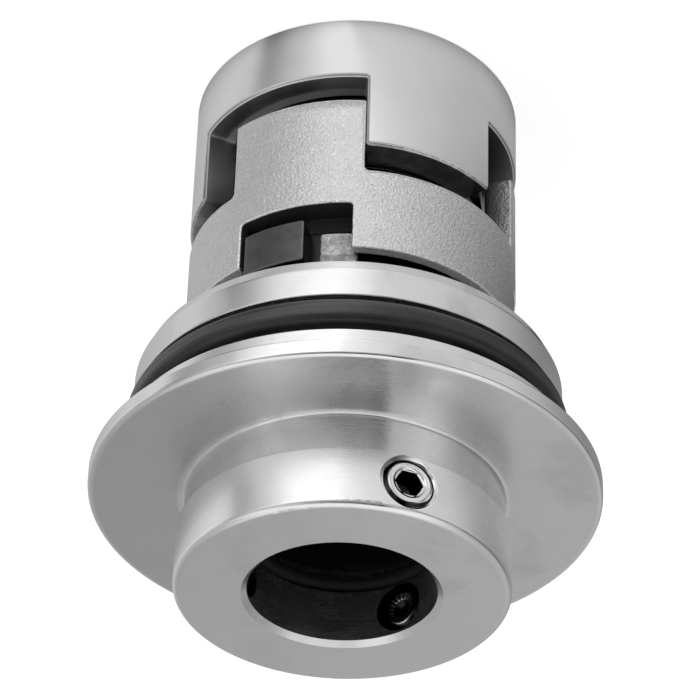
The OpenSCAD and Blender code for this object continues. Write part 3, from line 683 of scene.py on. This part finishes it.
class Finish:
    """A material or world made of nodes, and the colour that it starts from."""

    def __init__(self, owner, base=None):
        owner.use_nodes = True
        self.owner, self.tree, self.base, self.tone = owner, owner.node_tree, base, base
        self.tree.nodes.clear()

    def node(self, kind, settings=None, values=None, out=0):
        """Adds a node: its settings first, then the values or links of its sockets. Gives one output."""
        node = self.tree.nodes.new(kind)
        for key, value in (settings or {}).items():
            if key == "stops":
                ramp = node.color_ramp
                while len(ramp.elements) < len(value):
                    ramp.elements.new(0.5)
                for element, (place, level) in zip(ramp.elements, value):
                    element.position, element.color = place, (level, level, level, 1)
            else:
                setattr(node, key, value)
        for key, value in (values or {}).items():
            socket = node.inputs[key]
            if isinstance(value, Signal):
                self.tree.links.new(value.socket, socket)
            else:
                socket.default_value = value
        return Signal(self, node.outputs[out]) if node.outputs else None

    def place(self):
        """The point on the surface, and its x, y, z and distance from the shaft's axis, in millimetres."""
        point = self.node("ShaderNodeTexCoord", out="Object")
        point = self.node("ShaderNodeVectorMath", {"operation": "SCALE"}, {0: point, "Scale": 1 / MM})
        split = [self.node("ShaderNodeSeparateXYZ", None, {0: point}, out=k) for k in range(3)]
        radius = (split[0] * split[0] + split[1] * split[1]) ** 0.5
        return point, *split, radius

    def from_screw(self, x, y, z, radius, screws):
        """Where a point lies from the nearest screw's axis: u to its side, v up, and its distance. The
        direction is counted in thirds of a turn, and 3.5 keeps it above 0 with the screw in the middle."""
        turn = (y.angle(x) - screws.start) / THIRD + 3.5
        u, v = ((turn.fraction() - 0.5) * THIRD).wave() * radius, z - screws.height / MM
        return u, v, (u * u + v * v) ** 0.5

    def mark(self, name):
        """What the points of the surface carry under a name."""
        return self.node("ShaderNodeAttribute", {"attribute_name": name}, out="Fac")

    def join(self, x, y, z):
        """A vector of three numbers."""
        return self.node("ShaderNodeCombineXYZ", None, {0: x, 1: y, 2: z})

    def noise(self, vector, scale, detail=2.0, rough=0.5, distort=0.0):
        """Cloudy noise from 0 to 1."""
        return self.node("ShaderNodeTexNoise", None, {"Vector": vector, "Scale": scale, "Detail": detail,
                                                      "Roughness": rough, "Distortion": distort})

    def stain(self, amount, factor):
        """Changes the colour to the first one times a factor, where amount is 1."""
        last = tuple(min(1.0, c * factor) for c in self.base)
        self.tone = self.node("ShaderNodeMix", {"data_type": "RGBA"},
                              {"Factor": amount, 6: colour(self.tone), 7: colour(last)}, out=2)

    def surface(self, rough, height, depth, **values):
        """The shader itself. A height of 1 stands for depth, in millimetres."""
        normal = self.node("ShaderNodeBump", None,
                           {"Height": height, "Distance": depth * MM, "Strength": 1.0})
        others = {name.replace("_", " "): value for name, value in values.items()}
        shader = self.node("ShaderNodeBsdfPrincipled", None,
                           {"Base Color": self.tone, "Roughness": rough, "Normal": normal, **others})
        self.node("ShaderNodeOutputMaterial", None, {"Surface": shader})
        return self.owner


def colour(value):
    """A colour with its alpha, from three numbers, or a signal as it is."""
    return value if isinstance(value, Signal) else (*value[:3], 1)


def new_finish(name, base=None):
    """An empty material with the colour that it starts from."""
    return Finish(bpy.data.materials.new(name), base)


def turned_steel(name, s, carrier, screws=None):
    """Turned stainless steel: fine rings left by the tool, soft cloudy stains, a few handling marks, painted
    shade on one side of the flange's upper face, a painted shadow line over the neck, and painted highlights
    on the neck's fillet and the flange's rim. With screws given it is the sleeve's: its collar's wall is
    painted lighter, its bore and screw holes are painted darker, and each screw sits in a countersink with a
    painted highlight and a painted shadow crescent: there the height falls with the distance from the
    screw's axis, the root of u^2 + v^2, with u along the wall and v up."""
    f = new_finish(name, s.turned)
    point, x, y, z, radius = f.place()
    face, end = carrier.flange_high / MM, carrier.neck_high / MM
    foot, land, rim = (v / MM for v in (carrier.neck_radius, carrier.land_radius, carrier.flange_radius))
    rings = f.noise(f.join(radius * 9.0, z * 9.0, (x + y) * 0.05), 1.0, 3.0, 0.65)
    broad = f.noise(f.join(radius * 1.6, z * 1.6, (x - y) * 0.03), 1.0, 2.0)
    clouds = f.noise(point, 0.11, 3.0, 0.55, 0.4)
    specks = f.noise(point, 2.2, 4.0, 0.7)
    stain = clouds.smooth(0.46, 0.68)
    f.stain(stain * 0.55 + rings.smooth(0.35, 0.75) * 0.12, 0.8)
    # painted shade on one side of the flange's upper face, a painted shadow line in the gap between the neck
    # and the collar, and painted highlights on the neck's fillet and the flange's rim
    flange_side_shade = z.hump(face, 0.5) * radius.smooth(foot + 0.7, foot + 1.1)
    f.stain(flange_side_shade * x.smooth(-2, 12) * 0.7, 0.72)
    f.stain(z.hump(end + 0.16, 0.3) * radius.smooth(foot + 0.2, foot + 0.4), 0.1)
    fillet = radius.hump(foot + 0.28, 0.34) * z.hump(face + 0.26, 0.36)
    edge = radius.hump(rim - 0.35, 0.5) * z.hump(face - 0.2, 0.45)
    f.stain(fillet.bigger(edge), 1.16)
    rough = s.turned_rough + stain * 0.07 + rings.smooth(0.4, 0.8) * 0.05 + specks.smooth(0.6, 0.75) * 0.05
    rough = rough - radius.smooth(land - 0.8, land - 0.3) * z.smooth(face - 0.05, face - 0.15) * 0.1
    height = rings * 0.7 + broad * 0.5
    if screws is None:
        return f.surface(rough, height, 0.0004, Metallic=1.0, Anisotropic=0.8, Anisotropic_Rotation=0.25)
    u, v, away = f.from_screw(x, y, z, radius, screws)
    hole, mouth = 3.06, 3.45
    # painted light: the collar's wall is made lighter than the rest of the steel
    wall = radius.smooth(foot + 0.3, foot + 0.5)
    f.stain(wall * 0.85, 1.17)
    # painted highlight on each screw's countersink, and a painted shadow crescent across the side where u is
    # large and v is low
    cone = away.smooth(mouth + 0.15, mouth) * wall
    f.stain(cone, 1.16)
    f.stain(cone * (u - v).smooth(2.2, 4.6) * 0.85, 0.12)
    # painted shade deep in the bore, below the collar, and on the walls of the screw holes
    bore = radius.smooth(11.6, 11.2)
    painted_bore_shade = bore * z.smooth(63.0, 61.8) * 0.75
    f.stain(painted_bore_shade.bigger(away.smooth(hole + 0.06, hole) * radius.smooth(19.25, 18.75)), 0.06)
    height = height * (1 - cone) * (1 - bore * 0.7) * 0.0007 + cone * (away * 15).wave() * 0.03
    height = height - wall * (0.22 - away.smooth(hole - 0.06, mouth + 0.15) * 0.22)
    return f.surface(rough - cone * 0.12, height, 0.5, Metallic=1.0, Anisotropic=0.5,
                     Anisotropic_Rotation=0.25)


def cap_steel(s, cap):
    """Smooth satin steel: fine drawing marks, faint clouds, painted shade and painted reflections in the
    slots, dark burr marks on the lugs' ends, and painted highlights along the broken edges with a painted
    dark reflection in their middle.
    """
    f = new_finish("cap_steel", s.cap)
    point, x, y, z, radius = f.place()
    worn = f.mark("worn")
    grain = f.noise(point, 7.0, 3.0, 0.6)
    clouds = f.noise(point, 0.12, 2.0, 0.5)
    pits = f.noise(point, 3.1, 2.0).smooth(0.7, 0.82)
    f.stain(clouds.smooth(0.4, 0.7) * 0.35 + pits * 0.3, 0.84)
    patches = f.noise(point, 0.5, 2.0, 0.5, 0.5).smooth(0.35, 0.6)
    bottom, high = cap.slot_floor / MM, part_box("drive_cap")[1].z / MM
    slot = radius.smooth(19.9, 19.75) * z.smooth(4, 6)
    floor, end = z.smooth(bottom + 0.6, bottom + 0.2), z.smooth(high - 0.35, high - 0.15)
    inner = floor * radius.smooth(17.8, 17.2) * x.smooth(-12, -8)
    # painted shade and painted reflections in the slots: dark on the walls, lighter on the floors but for a
    # darker band across their middle, lighter in patches on the lugs' ends, and darkest in the slot towards
    # -X
    painted_slot_shade = 0.7 - floor * 0.42 + floor * radius.hump(18.4, 1.2) * 0.3 - inner * 0.2
    painted_slot_shade = painted_slot_shade - floor * (x.smooth(14.6, 15.4) * 0.14 + x.smooth(7.0, 3.0) * 0.55)
    painted_slot_shade = painted_slot_shade - end * (0.3 - patches * 0.25)
    painted_slot_shade = painted_slot_shade.bigger(x.smooth(-13.5, -14.5) * y.smooth(4, 2) * 0.95)
    f.stain(slot * painted_slot_shade, 0.16)
    # painted highlights on both edges of each cut edge, a painted dark reflection in its middle, and dark
    # burr marks along the lugs' ends
    painted_edge_highlight, painted_dark_reflection = worn.bigger(0.0) * (1 - end * 0.75), (worn * -1).bigger(0.0)
    burr = f.noise(f.join(x * 1.6, y * 1.6, z * 5.0), 1.0, 3.0, 0.7).smooth(0.44, 0.56)
    burr = burr * z.smooth(high - 0.5, high - 0.1)
    f.stain(painted_dark_reflection * (0.85 - end * 0.5) + burr * worn.size() * 0.9, 0.12)
    f.stain(painted_edge_highlight, 1.12)
    rough = s.cap_rough + grain.smooth(0.3, 0.7) * 0.05 + clouds * 0.04
    bright = painted_edge_highlight * radius.smooth(19.4, 19.8)
    return f.surface(rough, grain + pits * -0.6, 0.004, Metallic=1 - bright * 0.8 - inner * 0.4)


def cast_steel(s, driver):
    """Bead-blasted cast steel: small dents, bright specks painted as sparkle, soft mottling, edges worn
    bright, smeared dogs and painted shade where the surface is marked as deep."""
    f = new_finish("cast_steel", s.cast)
    point, _, _, z, radius = f.place()
    deep = f.mark("deep")
    worn = f.mark("worn") * radius.smooth(19.6, 19.75) * z.smooth(26.0, 27.5, 0.25, 1)
    dents = f.node("ShaderNodeTexVoronoi", {"feature": "SMOOTH_F1"},
                   {"Vector": point, "Scale": 3.6, "Smoothness": 0.5})
    grain = f.noise(point, 5.0, 3.0, 0.8)
    mottle = f.noise(point, 0.35, 3.0, 0.6)
    sparkle = f.noise(point, 4.0, 2.0, 0.85).smooth(0.54, 0.66)
    shadow = f.noise(point, 3.4, 3.0, 0.85).smooth(0.46, 0.33)
    f.stain((mottle.smooth(0.42, 0.75) * 0.16 + shadow * 0.75).smaller(1.0), 0.66)
    # bright specks painted as sparkle, and edges worn bright
    f.stain((sparkle * 0.8 + worn * 1.5).smaller(1.0), 1.22)
    rim, high = driver.rim_radius / MM, driver.rim / MM
    dogs = radius.smooth(rim - 0.05, rim - 0.2) * (1 - deep)
    smears = f.noise(point, 0.6, 4.0, 0.7, 0.5).smooth(0.4, 0.66)
    f.stain(dogs * (0.75 - smears * 0.6), 0.35)
    # painted shade inside the windows and on the lower lugs' inner side
    f.stain(deep, 0.06)
    end = z.smooth(high - 0.15, high - 0.02)
    rough = s.cast_rough + mottle * 0.05 - (sparkle * 0.12).bigger(worn * 0.15) + deep * 0.2
    metal = 1 - (end * 0.7).bigger(deep * 0.6)
    dents = dents * 0.7 + f.noise(point, 1.9, 2.0, 0.6) * 1.3
    return f.surface(rough, dents + grain * 0.9, 0.09, Metallic=metal)


def carbide(s, ring):
    """Lapped dark carbide: even grey, with a very fine grain, paler edges, and painted shade on all but the
    lugs' outer faces.
    """
    f = new_finish("carbide", s.carbide)
    point, *_, radius = f.place()
    worn = f.mark("worn")
    grain = f.noise(point, 12.0, 2.0, 0.6)
    clouds = f.noise(point, 0.5, 3.0)
    f.stain(clouds.smooth(0.4, 0.7), 0.75)
    f.stain(worn * 0.3, 2.0)
    # painted shade on all but the lugs' outer faces
    hidden = radius.smooth(ring.lug_radius / MM - 0.1, ring.lug_radius / MM - 0.25)
    f.stain(hidden * 0.95, 0.25)
    return f.surface(0.3 + clouds * 0.1 - worn * 0.05, grain, 0.002, Metallic=0.55 + hidden * 0.3)


def screw_steel(s, screws):
    """Bright screw steel: shiny, with rings turned into its face, a painted highlight on that face, and
    painted shade over the rest but for the cup's rim.
    """
    f = new_finish("screw_steel", s.screw)
    point, x, y, z, radius = f.place()
    marks = f.noise(point, 3.0, 3.0, 0.6)
    *_, away = f.from_screw(x, y, z, radius, screws)
    face = radius.smooth(screws.head / MM - 0.22, screws.head / MM - 0.12)
    f.stain(marks.smooth(0.4, 0.7) * 0.4, 0.75)
    # painted shade over all but the head's face and the cup's rim, then a painted highlight on the head's
    # face
    f.stain((1 - face) * (1 - radius.hump(screws.tip / MM + 0.04, 0.16)), 0.05)
    f.stain(face, 1.3)
    rings = (away * 13 + marks).wave() * face
    return f.surface(0.16 + marks * 0.1 - face * 0.06, rings * 4.5 + marks, 0.006, Metallic=1.0)


def spring_steel(s):
    """Drawn wire: darker, with fine marks along the turns."""
    f = new_finish("spring_steel", s.spring)
    point, x, _, z, radius = f.place()
    drawn = f.noise(f.join(radius * 6.0, z * 6.0, x * 0.2), 1.0, 3.0)
    clouds = f.noise(point, 0.4, 3.0)
    f.stain(clouds.smooth(0.35, 0.7), 0.7)
    return f.surface(0.3 + drawn * 0.15, drawn, 0.003, Metallic=1.0)


def rubber(s):
    """Black moulded rubber with a faint greyish bloom, pale streaks painted as highlights on the lower half
    of the carrier's ring, weaker on one side, and painted shade higher up and on the smaller rings, which are
    rougher there too.
    """
    f = new_finish("o_ring_rubber", s.rubber)
    point, x, y, z, radius = f.place()
    bloom = f.noise(point, 0.25, 4.0, 0.6)
    grain = f.noise(point, 6.0, 3.0, 0.6)
    dust = f.noise(point, 3.3, 2.0).smooth(0.72, 0.8)
    f.stain(bloom.smooth(0.4, 0.75) * 0.6 + dust * 0.4, 2.4)
    streaks = f.noise(f.join(radius * 1.1, z * 1.3, (x + y) * 0.025), 1.0, 3.0, 0.6)
    flow = z + (x - y) * 0.012
    # painted highlight: pale streaks on the lower half of the carrier's ring, weaker towards -X
    painted_sheen_streaks = flow.smooth(50.2, 48.6) * streaks.smooth(0.42, 0.56, 0.15, 1) * radius.smooth(20, 22)
    f.stain(painted_sheen_streaks * x.smooth(-7, 3, 0.15, 1), 5.0)
    # painted shade on the upper half and on the smaller rings, which are also made rougher
    painted_shade_and_matt = z.smooth(49.2, 50.4).bigger(radius.smooth(18, 16))
    f.stain(painted_shade_and_matt * 0.8, 0.25)
    return f.surface(0.36 + bloom * 0.1 + painted_shade_and_matt * 0.4 - streaks * 0.06, grain + streaks * 4, 0.006,
                     Specular_IOR_Level=0.6)


def paint_nodes(finish, *names):
    """Gives solids that stay their finish."""
    for name in names:
        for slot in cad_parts[name].material_slots:
            slot.material = finish


class SEAL_OT_turned(bpy.types.Operator):
    """Make the seat carrier, and finish the other turned steel pieces"""
    bl_idname = "seal.turned"
    bl_label = "Turned steel pieces"

    def execute(self, context):
        s = context.scene
        finish = turned_steel("turned_steel_fine", s.seal_finishes, s.seal_carrier)
        make_piece("seat_carrier_turned", carrier_shell(s.seal_carrier), "stator", "turned_steel", finish,
                   "seat_carrier")
        paint_nodes(finish, "seat_pin_1", "seat_pin_2", "spring_washer")
        sleeve = turned_steel("turned_steel_sleeve", s.seal_finishes, s.seal_carrier, s.seal_screw)
        paint_nodes(sleeve, "shaft_sleeve")
        return {"FINISHED"}


class SEAL_OT_cap(bpy.types.Operator):
    """Make the drive cap with its broken edges"""
    bl_idname = "seal.cap"
    bl_label = "Drive cap"

    def execute(self, context):
        s = context.scene
        make_piece("drive_cap_shell", cap_shell(s.seal_cap), "rotor", "cap_steel",
                   cap_steel(s.seal_finishes, s.seal_cap), "drive_cap")
        return {"FINISHED"}


class SEAL_OT_driver(bpy.types.Operator):
    """Make the driver with its rounded cast edges and dogs"""
    bl_idname = "seal.driver"
    bl_label = "Driver"

    def execute(self, context):
        s = context.scene
        make_piece("driver_casting", driver_shells(s.seal_driver), "driving", "cast_steel",
                   cast_steel(s.seal_finishes, s.seal_driver), "driver")
        return {"FINISHED"}


class SEAL_OT_hard_rings(bpy.types.Operator):
    """Make the rotary ring, and finish the stationary seat"""
    bl_idname = "seal.hard_rings"
    bl_label = "Hard rings"

    def execute(self, context):
        s = context.scene
        finish = carbide(s.seal_finishes, s.seal_ring)
        make_piece("rotary_ring_lapped", ring_shells(s.seal_ring), "rotary", "carbide", finish, "rotary_ring")
        paint_nodes(finish, "stationary_seat")
        return {"FINISHED"}


class SEAL_OT_screws(bpy.types.Operator):
    """Make the set screws with threads, sockets and cup points"""
    bl_idname = "seal.screws"
    bl_label = "Set screws"

    def execute(self, context):
        sizes = context.scene.seal_screw
        finish = screw_steel(context.scene.seal_finishes, sizes)
        for k in range(3):
            shell = screw_shell(sizes, sizes.start + k * THIRD)
            make_piece(f"socket_screw_{k + 1}", [shell], f"screw_{k + 1}", "screw_steel", finish,
                       f"set_screw_{k + 1}")
        return {"FINISHED"}


class SEAL_OT_spring(bpy.types.Operator):
    """Make the round wire spring, and finish the retaining ring"""
    bl_idname = "seal.spring"
    bl_label = "Spring and retaining ring"

    def execute(self, context):
        sizes = context.scene.seal_spring
        finish = spring_steel(context.scene.seal_finishes)
        coil = make_piece("spring_coil", [spring_shell(sizes)], "rotor", "spring_steel", finish, "spring")
        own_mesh(coil)
        paint_nodes(finish, "retaining_ring")
        return {"FINISHED"}


class SEAL_OT_rings(bpy.types.Operator):
    """Make the carrier's O-ring, and finish the other rubber O-rings"""
    bl_idname = "seal.rings"
    bl_label = "O-rings"

    def execute(self, context):
        finish = rubber(context.scene.seal_finishes)
        ring = full_ring(*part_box("carrier_o_ring"))
        make_piece("carrier_rubber_ring", [ring], "stator", "o_ring_rubber", finish, "carrier_o_ring")
        paint_nodes(finish, "sleeve_o_ring", "seat_o_ring", "ring_o_ring")
        return {"FINISHED"}


class SEAL_OT_studio(bpy.types.Operator):
    """Set up the floor, the soft light and the camera"""
    bl_idname = "seal.studio"
    bl_label = "Studio"

    def execute(self, context):
        studio = context.scene.seal_studio
        context.scene.view_settings.view_transform = "Standard"
        make_floor(studio)
        make_world(context.scene)
        make_camera(context.scene, studio)
        return {"FINISHED"}


def make_camera(scene, s):
    """A camera that looks at the shaft's axis from the side of -Y, tilted down and turned over."""
    side, top = Vector((1, 0, 0)), Vector((0, math.sin(s.elevation), math.cos(s.elevation)))
    back = Vector((0, -math.cos(s.elevation), math.sin(s.elevation)))
    right = math.cos(s.roll) * side + math.sin(s.roll) * top
    upward = math.cos(s.roll) * top - math.sin(s.roll) * side
    camera = bpy.data.cameras.new("camera")
    camera.lens, camera.sensor_width = s.lens, 36
    camera.clip_start, camera.clip_end = 0.01, 20
    eye = bpy.data.objects.new("camera", camera)
    turn = Matrix((right, upward, back)).transposed().to_4x4()
    eye.matrix_world = Matrix.Translation(Vector((s.aside, 0, s.aim)) + s.distance * back) @ turn
    scene.collection.objects.link(eye)
    scene.camera = eye


def make_floor(s):
    """A plain pale floor. Metal mirrors it as the studio's own soft bright and dark cards, which stand round
    a point before the seal: beta is the direction from there, 0 to the front and up to the right."""
    f = new_finish("studio_floor")
    _, x, y, _, radius = f.place()
    camera, glossy = (f.node("ShaderNodeLightPath", out=name) for name in ("Is Camera Ray", "Is Glossy Ray"))
    beta = (x * -1 + 2.5).angle((y + 15.4) * -1)
    cards = [(-180, 0.45), (-130, 0.55), (-98, 0.74), (-86, 0.72), (-80, 0.34), (-72, 0.34), (-60, 0.56),
             (-42, 0.74), (-20, 1.02), (10, 1.05), (16, 0.8), (50, 0.7), (90, 0.6), (117, 0.45), (180, 0.45)]
    drift = radius.smooth(28, 92) * beta.smooth(-0.6, -0.95) * 0.28 - radius.smooth(80, 106) * 0.28
    level = f.node("ShaderNodeValToRGB", {"stops": [((a + 180) / 360, v) for a, v in cards]},
                   {0: (beta - drift) * (1 / TURN) + 0.5})
    # the bright card's share on the disc and the flange, on the collar, and on the driver
    peak = radius.smooth(66, 84) * beta.hump(-0.1, 0.6) * 0.2
    peak = peak + radius.smooth(88, 106) * beta.hump(-0.5, 0.9) * 0.16
    peak = peak + radius.smooth(32, 42) * radius.smooth(70, 62) * beta.hump(0.0, 1.0) * 0.22
    level = level * radius.smooth(17, 23, 0.03, 1) * (1 + peak)
    # dark cards to the left and to the right
    left = beta.hump(-1.27, 0.42) * radius.smooth(34, 42)
    right = beta.smooth(0.9, 1.7) * radius.smooth(42, 48)
    level = level * (1 - (left * 0.85).bigger(right * 0.9) * radius.smooth(72, 65))
    level = level * (1 - beta.smooth(1.3, 2.0) * radius.smooth(66, 72) * 0.35)
    mirrored = f.node("ShaderNodeEmission", None, {"Color": level, "Strength": 1.0})
    matt = f.node("ShaderNodeBsdfDiffuse", None, {"Color": colour(s.floor)})
    glow = f.node("ShaderNodeEmission", None, {"Color": (1, 1, 1, 1), "Strength": 0.62})
    seen = f.node("ShaderNodeAddShader", None, {0: matt, 1: glow})
    lit = f.node("ShaderNodeMixShader", None, {0: camera, 1: matt, 2: seen})
    final = f.node("ShaderNodeMixShader", None, {0: glossy, 1: lit, 2: mirrored})
    f.node("ShaderNodeOutputMaterial", None, {"Surface": final})
    half, under = 3.0, -0.02 * MM
    mesh = bpy.data.meshes.new("studio_floor")
    mesh.from_pydata([(x * half, y * half, under) for x, y in ((-1, -1), (1, -1), (1, 1), (-1, 1))], [],
                     [(0, 1, 2, 3)])
    mesh.materials.append(f.owner)
    floor = bpy.data.objects.new("studio_floor", mesh)
    bpy.context.scene.collection.objects.link(floor)


def make_world(scene):
    """Soft studio light from all round: white where the camera sees it, brightest overhead, with a dim
    band at the horizon in front, a dark card over it, and mid-grey behind the seal."""
    world = bpy.data.worlds.new("studio")
    scene.world = world
    f = Finish(world)
    way = f.node("ShaderNodeTexCoord", out="Generated")
    x, y, z = (f.node("ShaderNodeSeparateXYZ", None, {0: way}, out=k) for k in range(3))
    front = y * -1
    level = 0.42 + z.smooth(0.7, 0.95, 0, 0.5)
    level = level + front.smooth(0.0, 0.4) * z.smooth(0.2, 0.5) * (1 - z.smooth(0.7, 0.95)) * 0.5
    level = level - front.smooth(0.5, 0.9) * z.hump(0.0, 0.3) * 0.3
    level = level - front.smooth(-0.3, -0.7) * z.hump(0.55, 0.4) * (0.06 + x.smooth(-0.1, 0.05, -0.12, 0))
    level = level - x.smooth(-0.45, -0.9) * z.hump(0.1, 0.5) * 0.32
    alpha = x.angle(front)
    card = alpha.smooth(-0.55, -0.47) * alpha.smooth(1.1, 0.0) * z.smooth(0.34, 0.44) * z.smooth(0.8, 0.72)
    level = level - card * 0.96 - alpha.hump(-0.64, 0.42) * z.hump(0.58, 0.26) * 0.5
    seen = f.node("ShaderNodeLightPath", out="Is Camera Ray")
    studio = f.node("ShaderNodeBackground", None, {0: (1, 1, 1, 1), 1: level})
    white = f.node("ShaderNodeBackground", None, {0: (1, 1, 1, 1), 1: 1.0})
    both = f.node("ShaderNodeMixShader", None, {0: seen, 1: studio, 2: white})
    f.node("ShaderNodeOutputWorld", None, {0: both})


class SEAL_PT_panel(bpy.types.Panel):
    """Lists the steps that make the seal"""
    bl_label = "Cartridge shaft seal"
    bl_idname = "SEAL_PT_panel"
    bl_space_type = "VIEW_3D"
    bl_region_type = "UI"
    bl_category = "Seal"

    def draw(self, context):
        for step in STEPS:
            self.layout.operator(step.bl_idname)
        for group in GROUPS:
            sizes = getattr(context.scene, group)
            box = self.layout.box()
            for name in sizes.bl_rna.properties.keys():
                if name not in ("rna_type", "name"):
                    box.prop(sizes, name)


STEPS = (SEAL_OT_studio, SEAL_OT_turned, SEAL_OT_cap, SEAL_OT_driver, SEAL_OT_hard_rings, SEAL_OT_screws,
         SEAL_OT_spring, SEAL_OT_rings)
GROUPS = {
    "seal_cap": CapSizes, "seal_driver": DriverSizes, "seal_ring": RingSizes, "seal_carrier": CarrierSizes,
    "seal_screw": ScrewSizes, "seal_spring": SpringSizes, "seal_finishes": Finishes, "seal_studio": Studio,
}


def register():
    """Adds the classes, and the settings to the scene."""
    for kind in (*GROUPS.values(), *STEPS, SEAL_PT_panel):
        bpy.utils.register_class(kind)
    for name, kind in GROUPS.items():
        setattr(bpy.types.Scene, name, PointerProperty(type=kind))


def unregister():
    """Takes the settings and the classes away again."""
    for name in GROUPS:
        delattr(bpy.types.Scene, name)
    for kind in (SEAL_PT_panel, *STEPS[::-1], *list(GROUPS.values())[::-1]):
        bpy.utils.unregister_class(kind)


def main():
    """Adds the sizes to the scene as settings, and makes the whole seal and its studio."""
    register()
    bpy.ops.seal.studio()
    bpy.ops.seal.turned()
    bpy.ops.seal.cap()
    bpy.ops.seal.driver()
    bpy.ops.seal.hard_rings()
    bpy.ops.seal.screws()
    bpy.ops.seal.spring()
    bpy.ops.seal.rings()


if __name__ == "__main__":
    main()
